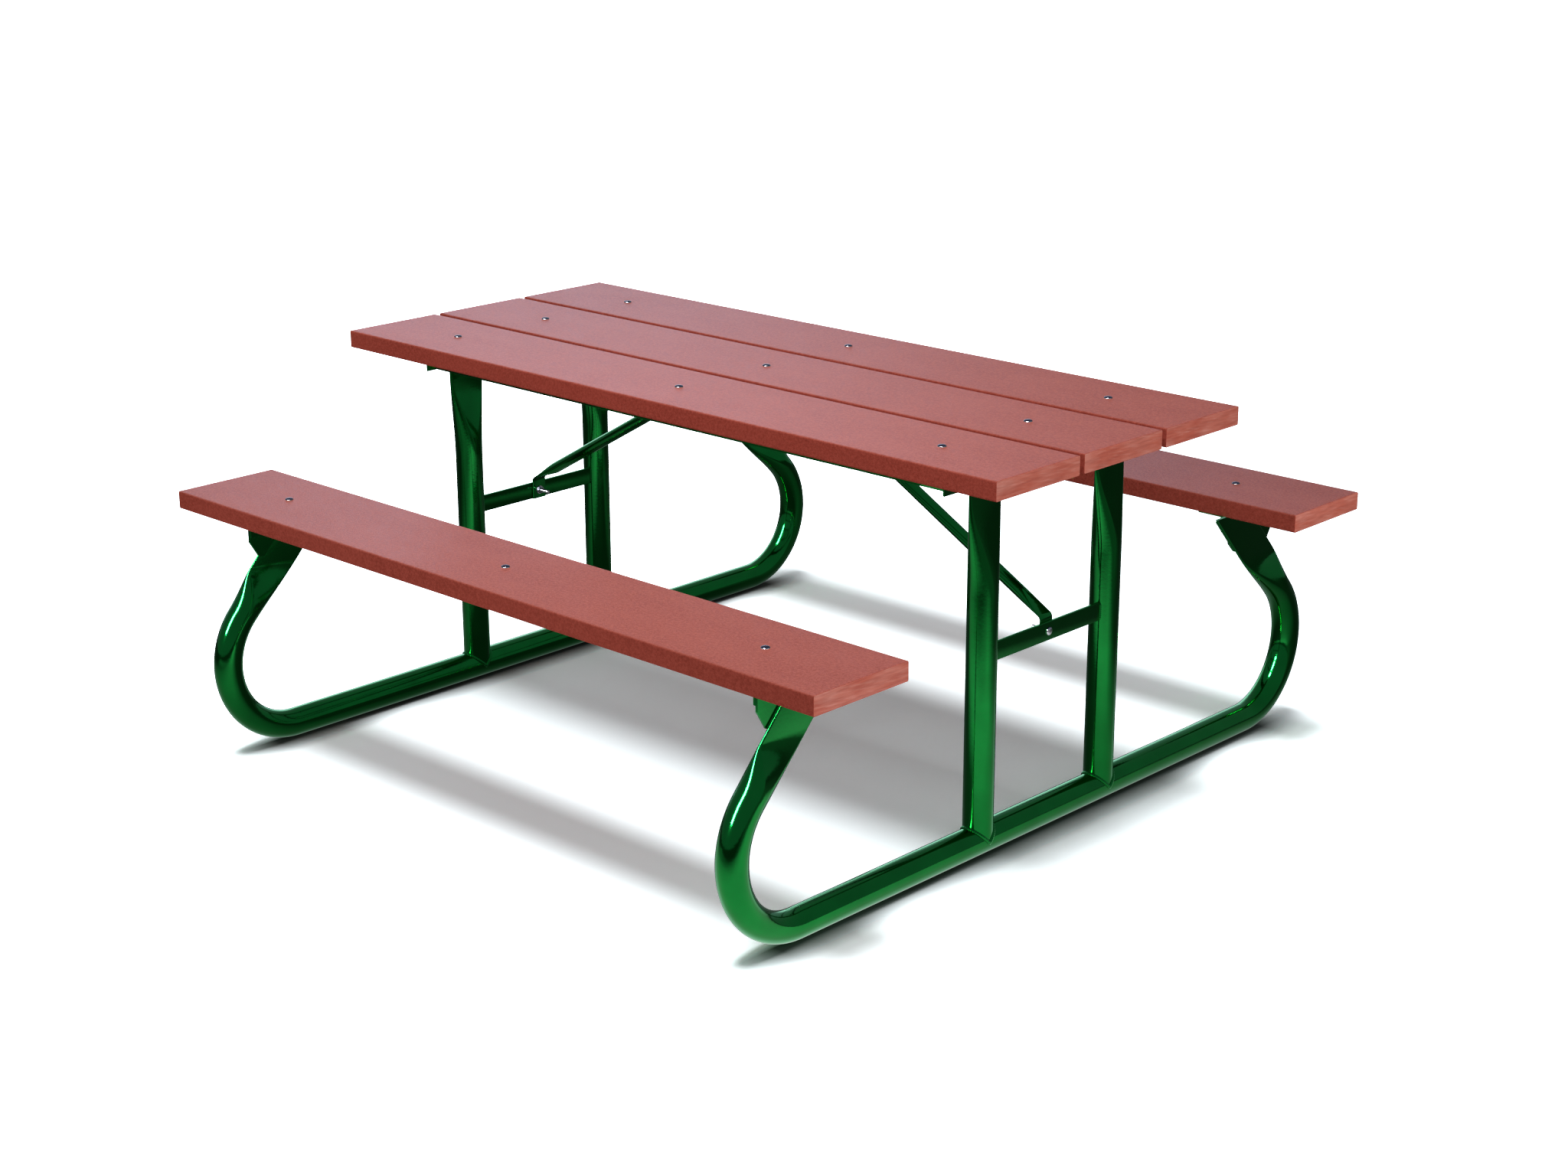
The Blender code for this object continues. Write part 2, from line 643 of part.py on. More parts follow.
def build_end_frame(side, side_x, material):
    """One end of the table: bent tube, two posts, tie bar, cross angle, seat brackets, brace."""
    x = side_x * FRAME_X
    make_frame_tube(f"frame_tube_{side}", x, material)
    make_post(f"post_{side}_front", x, -POST_Y, material)
    make_post(f"post_{side}_back", x, POST_Y, material)
    make_tie_bar(f"tie_bar_{side}", side_x, material)
    make_y_angle(f"cross_angle_{side}", side_x * CROSS_HEEL_X, -side_x, -CROSS_HALF_LENGTH,
                 CROSS_HALF_LENGTH, TOP_UNDERSIDE - GAP, (-PLANK_PITCH, 0.0, PLANK_PITCH),
                 material)
    make_brace(f"brace_{side}", side_x, 0 if side_x > 0 else 1, material)
    for row, side_y in (("front", -1), ("back", 1)):
        y_low, y_high = sorted((side_y * SEAT_BRACKET_INNER_Y, side_y * SEAT_BRACKET_OUTER_Y))
        make_y_angle(f"seat_angle_{side}_{row}", side_x * BRACKET_HEEL_X, -side_x, y_low, y_high,
                     SEAT_UNDERSIDE - GAP, (side_y * SEAT_CENTRE_Y,), material)
        make_gusset(f"seat_gusset_{side}_{row}", side_x, side_y, material)


def build_long_members(material):
    """Angles along the table: two under the top, one under each seat, and the middle strap."""
    top_end = CROSS_HEEL_X - ANGLE_THICKNESS - GAP
    seat_end = BRACKET_HEEL_X - ANGLE_THICKNESS - GAP
    for row, side_y in (("front", -1), ("back", 1)):
        make_x_angle(f"long_angle_{row}", side_y * LONG_ANGLE_Y, -side_y, top_end,
                     CROSS_HEEL_X - ANGLE_FLANGE, TOP_UNDERSIDE - GAP, side_y * PLANK_PITCH,
                     material)
        heel_y = SEAT_CENTRE_Y + ANGLE_FLANGE / 2
        make_x_angle(f"seat_rail_{row}", side_y * heel_y, -side_y, seat_end,
                     BRACKET_HEEL_X - ANGLE_FLANGE, SEAT_UNDERSIDE - GAP, side_y * SEAT_CENTRE_Y,
                     material)
    make_strap("centre_strap", material)


def main():
    clear_scene()
    plastic = make_material("red_brown_plastic", (0.42, 0.105, 0.075), 0.62, 0.0)
    green_steel = make_material("green_powder_coat", (0.004, 0.11, 0.028), 0.16, 0.0)
    zinc = make_material("zinc_plated_steel", (0.62, 0.62, 0.64), 0.28, 1.0)
    rows = build_planks(plastic)
    for side, side_x in (("left", -1), ("right", 1)):
        build_end_frame(side, side_x, green_steel)
        make_tie_bolt(f"tie_bolt_{side}", side_x, zinc)
    build_long_members(green_steel)
    make_plank_fasteners(rows, zinc)


main()
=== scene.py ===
import math

import bmesh
import bpy
import numpy as np
from mathutils import Matrix


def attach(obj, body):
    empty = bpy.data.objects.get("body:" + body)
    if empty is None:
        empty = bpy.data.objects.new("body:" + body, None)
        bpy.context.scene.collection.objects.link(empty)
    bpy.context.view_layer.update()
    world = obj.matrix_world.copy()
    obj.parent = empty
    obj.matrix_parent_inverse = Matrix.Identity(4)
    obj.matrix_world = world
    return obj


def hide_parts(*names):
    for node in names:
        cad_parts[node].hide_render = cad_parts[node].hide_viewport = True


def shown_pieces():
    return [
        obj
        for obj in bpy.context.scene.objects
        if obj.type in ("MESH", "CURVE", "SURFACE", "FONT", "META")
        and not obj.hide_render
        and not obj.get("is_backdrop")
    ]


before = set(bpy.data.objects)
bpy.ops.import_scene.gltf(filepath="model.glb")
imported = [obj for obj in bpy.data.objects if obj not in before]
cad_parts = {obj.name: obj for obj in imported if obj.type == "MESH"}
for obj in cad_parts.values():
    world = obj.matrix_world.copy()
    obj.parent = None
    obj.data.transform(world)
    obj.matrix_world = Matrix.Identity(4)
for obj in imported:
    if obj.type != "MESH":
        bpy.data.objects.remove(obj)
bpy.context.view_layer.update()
print("frame loaded:", len(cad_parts), "nodes")

# Sizes that several pieces share, in metres, as the model's own source has them
table = {"length": 1.829, "plankWidth": 0.241, "plankThickness": 0.038, "plankPitch": 0.254,
         "topHeight": 0.814, "seatHeight": 0.543, "seatY": 0.7235, "boltX": 0.688,
         "frameX": 0.742, "gap": 0.0003, "barThickness": 0.005}
# the undersides of the table's and the seats' planks, where the metal starts
table["topLevel"] = table["topHeight"] - table["plankThickness"] - table["gap"]
table["seatLevel"] = table["seatHeight"] - table["plankThickness"] - table["gap"]
tube = {"radius": 0.03015, "wall": 0.0028, "flatHalf": 0.0031, "sides": 64}
sides = {"left": -1, "right": 1}
rows = {"front": -1, "back": 1}
# Edges that turn by more than these degrees are shown sharp
sharp = {"plank": 50, "tube": 60, "bar": 40, "bolt": 35, "nut": 25}


# Helpers for objects and meshes

def addObject(name, data):
    made = bpy.data.objects.new(name, data)
    bpy.context.scene.collection.objects.link(made)
    return made


def turnTo(thing, *axes):
    # its own X, Y and Z axes lie along these
    thing.rotation_euler = Matrix(np.stack(axes, 1).tolist()).to_euler()


def wayAt(azimuth, elevation):
    # the direction at an azimuth and an elevation in radians
    level = math.cos(elevation)
    return np.array((math.cos(azimuth) * level, math.sin(azimuth) * level, math.sin(elevation)))


def gridQuads(rowCount, colCount, wrapRows=False, wrapCols=False):
    # quad (i, j) joins grid point (i, j) to the ones in the next row and the next column
    i = np.arange(rowCount if wrapRows else rowCount - 1)[:, None]
    j = np.arange(colCount if wrapCols else colCount - 1)[None, :]
    nextI = (i + 1) % rowCount
    nextJ = (j + 1) % colCount
    corners = (i * colCount + j, i * colCount + nextJ, nextI * colCount + nextJ, nextI * colCount + j)
    return np.stack(np.broadcast_arrays(*corners), -1).reshape(-1, 4)


def closedGrid(points):
    # a grid whose rows are rings: quads between the rings and one flat cap at each end
    rowCount, colCount = points.shape[:2]
    faces = gridQuads(rowCount, colCount, wrapCols=True).tolist()
    faces.append(list(range(colCount)))
    faces.append(list(range((rowCount - 1) * colCount, rowCount * colCount)))
    return points.reshape(-1, 3), faces


def ringGrid(points):
    # a grid that closes on itself both ways, such as a pipe with a wall
    rowCount, colCount = points.shape[:2]
    return points.reshape(-1, 3), gridQuads(rowCount, colCount, True, True).tolist()


def joined(*shells):
    # several shells as one list of points and faces
    points, faces, start = [], [], 0
    for shellPoints, shellFaces in shells:
        points.append(shellPoints)
        faces += [[index + start for index in face] for face in shellFaces]
        start += len(shellPoints)
    return np.concatenate(points), faces


def makePiece(name, shell, nodes, material, sharpAngle):
    # puts points and faces into a mesh with its faces outwards, and shows it for the CAD nodes
    points, faces = shell
    mesh = bpy.data.meshes.new(name)
    mesh.from_pydata(np.asarray(points, float).tolist(), [], faces)
    work = bmesh.new()
    work.from_mesh(mesh)
    bmesh.ops.recalc_face_normals(work, faces=work.faces)
    work.to_mesh(mesh)
    work.free()
    mesh.materials.append(material)
    mesh.shade_smooth()
    mesh.set_sharp_from_angle(angle=math.radians(sharpAngle))
    piece = addObject(name, mesh)
    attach(piece, "root")
    if nodes:
        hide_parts(*nodes)
    return piece


def ease(value):
    # 3t^2 - 2t^3 of the value held between 0 and 1
    t = np.clip(value, 0.0, 1.0)
    return t * t * (3 - 2 * t)


def pathAlong(distance, start, heading, moves):
    # a flat path of (length, turn) moves: each move adds its own share of the distance, as a
    # straight if its turn is 0 and else as an arc of radius length / turn
    place = np.zeros((len(distance), 2)) + np.asarray(start, float)
    angle = np.full(len(distance), float(heading))
    begin = 0.0
    for length, turn in moves:
        part = np.clip(distance - begin, 0.0, length)
        if turn == 0:
            place += part[:, None] * np.array((math.cos(heading), math.sin(heading)))
        else:
            radius = length / turn
            bent = heading + part / radius
            place += radius * np.stack((np.sin(bent) - math.sin(heading),
                                        math.cos(heading) - np.cos(bent)), -1)
            angle += part / radius
        heading += turn
        begin += length
    return place, angle


def unit(ways, guard=1e-12):
    # each row made one long; the guard keeps a row of zeros from a division by zero
    return ways / (np.linalg.norm(ways, axis=1, keepdims=True) + guard)


def stations(marks, counts):
    # distances from mark to mark, so many to each span with both its marks
    spans = [np.linspace(low, high, count)[:-1] for low, high, count in zip(marks, marks[1:], counts)]
    return np.concatenate(spans + [marks[-1:]])


def everywhere(like, way):
    # one direction repeated for each row of an array
    return np.zeros_like(like) + way


def squashed(radius, flatHalf, share):
    # half thickness falls from the radius to flatHalf, and half width grows to keep the girth
    thin = radius + (flatHalf - radius) * share
    return thin, thin + (radius - thin) * math.pi / 2


tube["flatWide"] = squashed(tube["radius"], tube["flatHalf"], 1.0)[1]


def stadium(halfU, halfV, count):
    # rings of round ends and straight flanks: a circle of the smaller half size, its halves and
    # sides moved apart by what is left of the other one
    turn = (np.arange(count) + 0.5) * 2 * math.pi / count
    small = np.minimum(halfU, halfV)[:, None]
    u = small * np.sin(turn) + (halfU[:, None] - small) * np.sign(np.sin(turn))
    v = small * np.cos(turn) + (halfV[:, None] - small) * np.sign(np.cos(turn))
    return u, v


def pipeGrid(centre, side, normal, halfSide, halfNormal, wall, count):
    # outer skin = centre + side * u + normal * v, then the inner skin back, a wall inside it
    skins = []
    for inset in (0.0, wall):
        u, v = stadium(halfSide - inset, halfNormal - inset, count)
        skins.append(centre[:, None] + side[:, None] * u[..., None] + normal[:, None] * v[..., None])
    return np.concatenate((skins[0], skins[1][::-1]))


def turned(radii, heights, count):
    # rows of rings about Z: radius and height per row, or per row and side
    angle = np.arange(count) * 2 * math.pi / count
    radii = np.broadcast_to(np.asarray(radii).reshape(len(radii), -1), (len(radii), count))
    heights = np.broadcast_to(np.asarray(heights).reshape(len(heights), -1), radii.shape)
    return np.stack((radii * np.cos(angle), radii * np.sin(angle), heights), -1)


def standIn(node, shell, material, sharpAngle):
    # the piece that takes a CAD node's place, with the node's name in camelCase
    words = node.split("_")
    name = words[0] + "".join(word.capitalize() for word in words[1:])
    return makePiece(name, shell, [node], material, sharpAngle)


def coatedPiece(node, shell, sharpAngle=sharp["tube"]):
    return standIn(node, shell, coatMaterial, sharpAngle)


def zincPiece(node, shell, sharpAngle):
    return standIn(node, shell, zincMaterial, sharpAngle)


# Materials

def feed(tree, node, values):
    # each input gets another node's socket or a plain value; a colour gets its alpha
    for name, value in values.items():
        socket = node.inputs[name]
        if isinstance(value, bpy.types.NodeSocket):
            tree.links.new(value, socket)
        else:
            socket.default_value = (*value, 1.0) if socket.type == "RGBA" else value


def addNode(tree, kind, inputs=None, **settings):
    made = tree.nodes.new(kind)
    for name, value in settings.items():
        setattr(made, name, value)
    feed(tree, made, inputs or {})
    return made


def makeMottleGroup():
    # noise of a chosen scale, stretched so that low .. high becomes a mask of 0 .. 1
    group = bpy.data.node_groups.new("mottle", "ShaderNodeTree")
    sockets = group.interface
    sockets.new_socket("Vector", in_out="INPUT", socket_type="NodeSocketVector")
    for name, value in (("Scale", 10.0), ("Detail", 3.0), ("Low", 0.4), ("High", 0.6)):
        made = sockets.new_socket(name, in_out="INPUT", socket_type="NodeSocketFloat")
        made.default_value = value
    sockets.new_socket("Mask", in_out="OUTPUT", socket_type="NodeSocketFloat")
    given = addNode(group, "NodeGroupInput")
    noise = addNode(group, "ShaderNodeTexNoise", {
        "Vector": given.outputs["Vector"], "Scale": given.outputs["Scale"],
        "Detail": given.outputs["Detail"]})
    stretch = addNode(group, "ShaderNodeMapRange", {
        "Value": noise.outputs[0], "From Min": given.outputs["Low"],
        "From Max": given.outputs["High"]})
    addNode(group, "NodeGroupOutput", {"Mask": stretch.outputs["Result"]})
    return group


mottleGroup = makeMottleGroup()


def mottle(tree, vector, scale, detail, low, high):
    made = addNode(tree, "ShaderNodeGroup", node_tree=mottleGroup)
    feed(tree, made, {"Vector": vector, "Scale": scale, "Detail": detail, "Low": low, "High": high})
    return made.outputs["Mask"]


def mixColor(tree, mask, first, second, blend="MIX"):
    # first where the mask is 0, second where it is 1; either may be a colour or a socket
    made = addNode(tree, "ShaderNodeMix", data_type="RGBA", blend_type=blend)
    feed(tree, made, {0: mask, 6: first, 7: second})
    return made.outputs[2]


def mapValue(tree, value, low, high, outLow=0.0, outHigh=1.0):
    made = addNode(tree, "ShaderNodeMapRange", {"Value": value, "From Min": low, "From Max": high,
                                                "To Min": outLow, "To Max": outHigh})
    return made.outputs["Result"]


def fading(tree, value, low, high):
    # 1 below low, 0 above high
    return mapValue(tree, value, low, high, 1.0, 0.0)


def between(tree, mask, first, second):
    # the first value where the mask is 0, the second where it is 1
    return mapValue(tree, mask, 0.0, 1.0, first, second)


def mathNode(tree, operation, first, second=0.0):
    return addNode(tree, "ShaderNodeMath", {0: first, 1: second}, operation=operation).outputs[0]


def times(tree, first, second):
    return mathNode(tree, "MULTIPLY", first, second)


def reachAlong(tree, vector, way):
    # dot product of a vector and a fixed direction
    made = addNode(tree, "ShaderNodeVectorMath", {0: vector, 1: way}, operation="DOT_PRODUCT")
    return made.outputs["Value"]


def levelMask(tree, low, high):
    # from 0 on upright faces to 1 on level ones: Z of the mesh's own normal between low and high
    normal = addNode(tree, "ShaderNodeTexCoord").outputs["Normal"]
    normalZ = addNode(tree, "ShaderNodeSeparateXYZ", {"Vector": normal}).outputs["Z"]
    return mapValue(tree, normalZ, low, high)


def newMaterial(name):
    material = bpy.data.materials.new(name)
    material.use_nodes = True
    tree = material.node_tree
    shader = tree.nodes["Principled BSDF"]
    coords = addNode(tree, "ShaderNodeTexCoord")
    return material, tree, shader, coords.outputs["Object"]


def mapped(tree, vector, **values):
    return addNode(tree, "ShaderNodeMapping", {"Vector": vector, **values}).outputs["Vector"]


def addBump(tree, shader, height, strength, distance):
    bump = addNode(tree, "ShaderNodeBump", {"Height": height, "Strength": strength,
                                            "Distance": distance})
    feed(tree, shader, {"Normal": bump.outputs["Normal"]})


# The finishes. A noise is (scale, detail, low, high): what lies between low and high becomes a
# mask of 0 to 1. A relief is (strength, distance in metres). Shares say how much a mask counts

# plastic: the side colour factor darkens upright faces as painted shade
plastic = {"light": (0.53, 0.145, 0.11), "dark": (0.31, 0.067, 0.047), "fleck": (0.2, 0.04, 0.03),
           "grainNoise": (520.0, 2.0, 0.35, 0.65), "speckNoise": (190.0, 1.0, 0.3, 0.7),
           "fleckNoise": (520.0, 1.0, 0.66, 0.74), "fleckShare": 0.5,
           "patchNoise": (5.0, 4.0, 0.35, 0.65), "patchStretch": (1.0, 2.2, 2.2),
           "patchShare": 0.22, "pebbleNoise": (800.0, 2.0, 0.3, 0.7), "grainShare": 0.6,
           "relief": (0.35, 0.0006), "roughness": (0.5, 0.62), "topZ": (0.3, 0.9),
           "specular": 0.06, "sideSpecular": 0.008, "paintedSideShade": (0.93, 0.66, 0.60)}


def makePlankMaterial():
    # even red-brown body, fine light and dark grains, a few dark flecks and slow wide patches
    material, tree, shader, coords = newMaterial("recycledPlankPlastic")
    fine = mottle(tree, coords, *plastic["grainNoise"])
    specks = mottle(tree, coords, *plastic["speckNoise"])
    grain = times(tree, mathNode(tree, "ADD", fine, specks), 0.5)
    fleck = times(tree, mottle(tree, coords, *plastic["fleckNoise"]), plastic["fleckShare"])
    wide = mapped(tree, coords, Scale=plastic["patchStretch"])
    patch = times(tree, mottle(tree, wide, *plastic["patchNoise"]), plastic["patchShare"])
    body = mixColor(tree, grain, plastic["dark"], plastic["light"])
    body = mixColor(tree, patch, body, plastic["light"])
    body = mixColor(tree, fleck, body, plastic["fleck"])
    # the sides are painted darker and redder than the top as painted shade, and the top has more sheen
    # than the sides
    isTop = levelMask(tree, *plastic["topZ"])
    tint = mixColor(tree, isTop, plastic["paintedSideShade"], (1.0, 1.0, 1.0))
    feed(tree, shader, {
        "Base Color": mixColor(tree, 1.0, body, tint, "MULTIPLY"),
        "Roughness": between(tree, grain, *plastic["roughness"]),
        "Specular IOR Level": between(tree, isTop, plastic["sideSpecular"], plastic["specular"])})
    pebble = mottle(tree, coords, *plastic["pebbleNoise"])
    height = mathNode(tree, "ADD", pebble, times(tree, grain, plastic["grainShare"]))
    addBump(tree, shader, height, *plastic["relief"])
    return material


# sawnEnd: the pale smears are made stronger near the front corner as a painted highlight
sawnEnd = {"body": (0.54, 0.125, 0.08), "cloud": (0.76, 0.35, 0.285), "streak": (0.33, 0.055, 0.034),
           "smearNoise": (11.0, 2.0, 0.38, 0.68), "smearStretch": (1.0, 1.0, 1.9),
           "smearHighlightReach": (-1.0, -0.5), "smearHighlightShare": (0.8, 0.3),
           "scratchNoise": (9.0, 3.0, 0.5, 0.7), "scratchStretch": (1.0, 2.4, 26.0),
           "scratchLean": (0.12, 0.0, 0.0), "scratchShare": 0.36,
           "streakNoise": (6.0, 4.0, 0.4, 0.64), "streakStretch": (1.0, 3.0, 34.0),
           "streakShare": 0.42, "sawNoise": (30.0, 2.0, 0.35, 0.65), "sawStretch": (1.0, 40.0, 3.0),
           "relief": (0.25, 0.0004), "roughness": (0.5, 0.38)}


def makeEndMaterial():
    # sawn end: pale cloudy smears along the end over the body colour, with fine saw streaks
    material, tree, shader, coords = newMaterial("sawnPlankEnd")
    leaning = mapped(tree, coords, Rotation=sawnEnd["scratchLean"])
    masks = {name: mottle(tree, mapped(tree, base, Scale=sawnEnd[name + "Stretch"]),
                          *sawnEnd[name + "Noise"])
             for name, base in (("smear", coords), ("streak", coords), ("saw", coords),
                                ("scratch", leaning))}
    # the pale smears are the end's own marks, and their pale pool near the front corner, fainter over the
    # rest, is a painted highlight
    across = addNode(tree, "ShaderNodeAttribute", attribute_name="plankAcross").outputs["Fac"]
    corner = mapValue(tree, across, *sawnEnd["smearHighlightReach"], *sawnEnd["smearHighlightShare"])
    body = mixColor(tree, times(tree, masks["smear"], corner), sawnEnd["body"], sawnEnd["cloud"])
    # long pale scratches run across the end and lift a little towards one side
    scratch = times(tree, masks["scratch"], sawnEnd["scratchShare"])
    body = mixColor(tree, scratch, body, sawnEnd["cloud"])
    streak = times(tree, masks["streak"], sawnEnd["streakShare"])
    feed(tree, shader, {"Base Color": mixColor(tree, streak, body, sawnEnd["streak"]),
                        "Roughness": between(tree, masks["smear"], *sawnEnd["roughness"])})
    height = mathNode(tree, "ADD", masks["saw"], masks["streak"])
    addBump(tree, shader, height, *sawnEnd["relief"])
    return material


coat = {"body": (0.004, 0.225, 0.034), "deep": (0.003, 0.18, 0.027), "edge": (0.07, 0.62, 0.24),
        "cloudNoise": (14.0, 3.0, 0.3, 0.7), "roughness": (0.08, 0.12), "rim": (0.5, 0.9),
        "gloss": 0.16, "rimGloss": 0.14, "glossRoughness": 0.03,
        "peelNoise": (160.0, 2.0, 0.2, 0.8), "relief": (0.08, 0.0006)}


def makeCoatMaterial():
    # deep green gloss: the coat tints what it mirrors, with a clear layer and slight orange peel
    material, tree, shader, coords = newMaterial("greenPowderCoat")
    cloud = mottle(tree, coords, *coat["cloudNoise"])
    # towards the outline the coat turns paler, and its clear layer shows a little less
    facing = addNode(tree, "ShaderNodeLayerWeight", {"Blend": 0.5}).outputs["Facing"]
    rim = mapValue(tree, facing, *coat["rim"])
    body = mixColor(tree, cloud, coat["body"], coat["deep"])
    feed(tree, shader, {"Base Color": mixColor(tree, rim, body, coat["edge"]),
                        "Metallic": 1.0, "Coat Roughness": coat["glossRoughness"],
                        "Roughness": between(tree, cloud, *coat["roughness"]),
                        "Coat Weight": between(tree, rim, coat["gloss"], coat["rimGloss"])})
    addBump(tree, shader, mottle(tree, coords, *coat["peelNoise"]), *coat["relief"])
    return material


# zinc: the crown colour darkens upward faces as painted shade
zinc = {"bright": (0.80, 0.81, 0.86), "dull": (0.62, 0.63, 0.68), "roughness": (0.12, 0.26),
        "cloudNoise": (240.0, 4.0, 0.4, 0.65), "crown": (0.13, 0.13, 0.2), "paintedShadeZ": (0.25, 0.6),
        "pitNoise": (1500.0, 2.0, 0.3, 0.7), "relief": (0.08, 0.0002)}


def makeZincMaterial():
    # bright plating with cloudy duller patches
    material, tree, shader, coords = newMaterial("zincPlate")
    cloud = mottle(tree, coords, *zinc["cloudNoise"])
    body = mixColor(tree, cloud, zinc["bright"], zinc["dull"])
    # faces that look up are painted darker: a painted shade on the crowns of the heads
    crown = mixColor(tree, levelMask(tree, *zinc["paintedShadeZ"]), (1.0, 1.0, 1.0), zinc["crown"])
    feed(tree, shader, {"Base Color": mixColor(tree, 1.0, body, crown, "MULTIPLY"),
                        "Metallic": 1.0, "Roughness": between(tree, cloud, *zinc["roughness"])})
    addBump(tree, shader, mottle(tree, coords, *zinc["pitNoise"]), *zinc["relief"])
    return material


plankMaterial = makePlankMaterial()
endMaterial = makeEndMaterial()
coatMaterial = makeCoatMaterial()
zincMaterial = makeZincMaterial()
print("materials made")


# Planks

plank = {"corner": 0.0032, "leastCorner": 0.0004, "endEase": 0.0014, "crown": 0.0009,
         "support": 0.002, "margin": 0.004, "capStop": 0.0015, "arcSteps": 7, "easeSteps": 6,
         "stations": 40, "capSteps": 8, "endFacing": 0.8}


def plankRings(x, inset, centreY, centreZ):
    # a rounded rectangle per station, its half sizes and corners smaller by the inset; a point is
    # its corner's centre + radius * (cos, sin) + a step along the tangent beside each arc
    arc = np.linspace(0, math.pi / 2, plank["arcSteps"])
    arc = np.concatenate(([0], arc, [math.pi / 2]))
    quarter = np.repeat(np.arange(4), len(arc))
    angle = quarter * math.pi / 2 + np.tile(arc, 4)
    step = np.tile(np.concatenate(([-1], np.zeros(len(arc) - 2), [1])), 4)
    signY = np.array((1, -1, -1, 1))[quarter]
    signZ = np.array((1, 1, -1, -1))[quarter]
    halfY = table["plankWidth"] / 2 - inset[:, None]
    halfZ = table["plankThickness"] / 2 - inset[:, None]
    corner = np.maximum(plank["corner"] - inset[:, None], plank["leastCorner"])
    support = np.minimum(plank["support"], halfZ - corner) * step
    y = signY * (halfY - corner) + corner * np.cos(angle) - support * np.sin(angle)
    z = signZ * (halfZ - corner) + corner * np.sin(angle) + support * np.cos(angle)
    x = np.broadcast_to(x[:, None], y.shape)
    return np.stack((x, centreY + y, centreZ + z), -1)


def plankStations():
    # from the middle outwards: plain stations, a quarter round over the end's edge, then rings
    # that shrink across the end while it crowns out by crown * (1 - (1 - u)^2)
    edge = table["length"] / 2 - plank["crown"]
    radius, stop = plank["endEase"], table["plankThickness"] / 2 - plank["capStop"]
    turn = np.linspace(0, math.pi / 2, plank["easeSteps"])
    u = np.linspace(0, 1, plank["capSteps"])[1:]
    x = np.concatenate((edge - radius + radius * np.sin(turn),
                        edge + plank["crown"] * (1 - (1 - u) ** 2)))
    inset = np.concatenate((radius * (1 - np.cos(turn)), radius + (stop - radius) * u))
    reach = edge - radius - plank["margin"]
    middle = np.linspace(-reach, reach, plank["stations"])
    return (np.concatenate((-x[::-1], middle, x)),
            np.concatenate((inset[::-1], np.zeros(len(middle)), inset)))


def makePlank(node, centreY, top):
    x, inset = plankStations()
    rings = plankRings(x, inset, centreY, top - table["plankThickness"] / 2)
    piece = standIn(node, closedGrid(rings), plankMaterial, sharp["plank"])
    mesh = piece.data
    mesh.materials.append(endMaterial)
    normals = np.zeros(len(mesh.polygons) * 3)
    mesh.polygons.foreach_get("normal", normals)
    isEnd = np.abs(normals[0::3]) > plank["endFacing"]
    mesh.polygons.foreach_set("material_index", isEnd.astype(np.int32))
    # how far across the plank each point lies, from -1 at the front edge to 1 at the back edge
    places = np.zeros(len(mesh.vertices) * 3)
    mesh.vertices.foreach_get("co", places)
    across = mesh.attributes.new("plankAcross", "FLOAT", "POINT")
    across.data.foreach_set("value", (places[1::3] - centreY) / (table["plankWidth"] / 2))


plankRows = [("front", -table["plankPitch"], table["topHeight"], "top_plank_front"),
             ("centre", 0.0, table["topHeight"], "top_plank_centre"),
             ("back", table["plankPitch"], table["topHeight"], "top_plank_back"),
             ("seat_front", -table["seatY"], table["seatHeight"], "seat_front_plank"),
             ("seat_back", table["seatY"], table["seatHeight"], "seat_back_plank")]
for rowName, rowY, rowTop, plankNode in plankRows:
    makePlank(plankNode, rowY, rowTop)
print("planks made")


# Frame tubes

curl = {"railHalf": 0.705, "bendRadius": 0.16078, "bendAngle": math.radians(132.5),
        "flatDrop": 0.105, "steps": (12, 48, 60, 14)}


def curlPath():
    # straight rail, one arc, straight rise to the seat; returns its moves and the flare's length
    angle, radius = curl["bendAngle"], curl["bendRadius"]
    riseStart = tube["radius"] + radius * (1 - math.cos(angle))
    rise = (table["seatLevel"] - riseStart) / math.sin(angle)
    flare = rise - curl["flatDrop"] / math.sin(angle)
    return [(curl["railHalf"], 0), (radius * angle, angle), (rise, 0)], flare


def curlSections(frameX):
    # sections along the whole tube: distance is signed from the rail's middle, the path is
    # walked with its size and mirrored by its sign; sections lean until they lie level
    moves, flare = curlPath()
    bendStart, bendEnd = moves[0][0], moves[0][0] + moves[1][0]
    marks = (0, bendStart, bendEnd, bendEnd + flare, bendEnd + moves[2][0])
    half = stations(marks, curl["steps"])
    distance = np.concatenate((-half[:0:-1], half))
    sign = np.where(distance < 0, -1.0, 1.0)
    along = np.abs(distance)
    place, heading = pathAlong(along, (0.0, tube["radius"]), 0.0, moves)
    share = ease((along - bendEnd) / flare)
    thin, wide = squashed(tube["radius"], tube["flatHalf"], share)
    lean = np.clip((along - bendEnd) / flare, 0.0, 1.0)
    tangent = np.stack((np.cos(heading), np.sin(heading)), -1)
    normal = np.stack((tangent[:, 1], -tangent[:, 0]), -1)
    steep = np.where(lean > 0, tangent[:, 1], 1.0)
    normal = normal - tangent * (lean * normal[:, 1] / steep)[:, None]
    centre = np.stack((np.full(len(along), frameX), sign * place[:, 0], place[:, 1]), -1)
    across = np.stack((np.zeros(len(along)), sign * normal[:, 0], normal[:, 1]), -1)
    return centre, everywhere(centre, (1.0, 0.0, 0.0)), across, thin, wide


for sideName, sideX in sides.items():
    grid = pipeGrid(*curlSections(sideX * table["frameX"]), tube["wall"], tube["sides"])
    coatedPiece(f"frame_tube_{sideName}", ringGrid(grid))


# Posts

post = {"y": 0.192, "flatLength": 0.05, "taperLength": 0.20, "copeGap": 0.0009, "footStep": 0.008,
        "steps": (2, 14, 44, 6)}


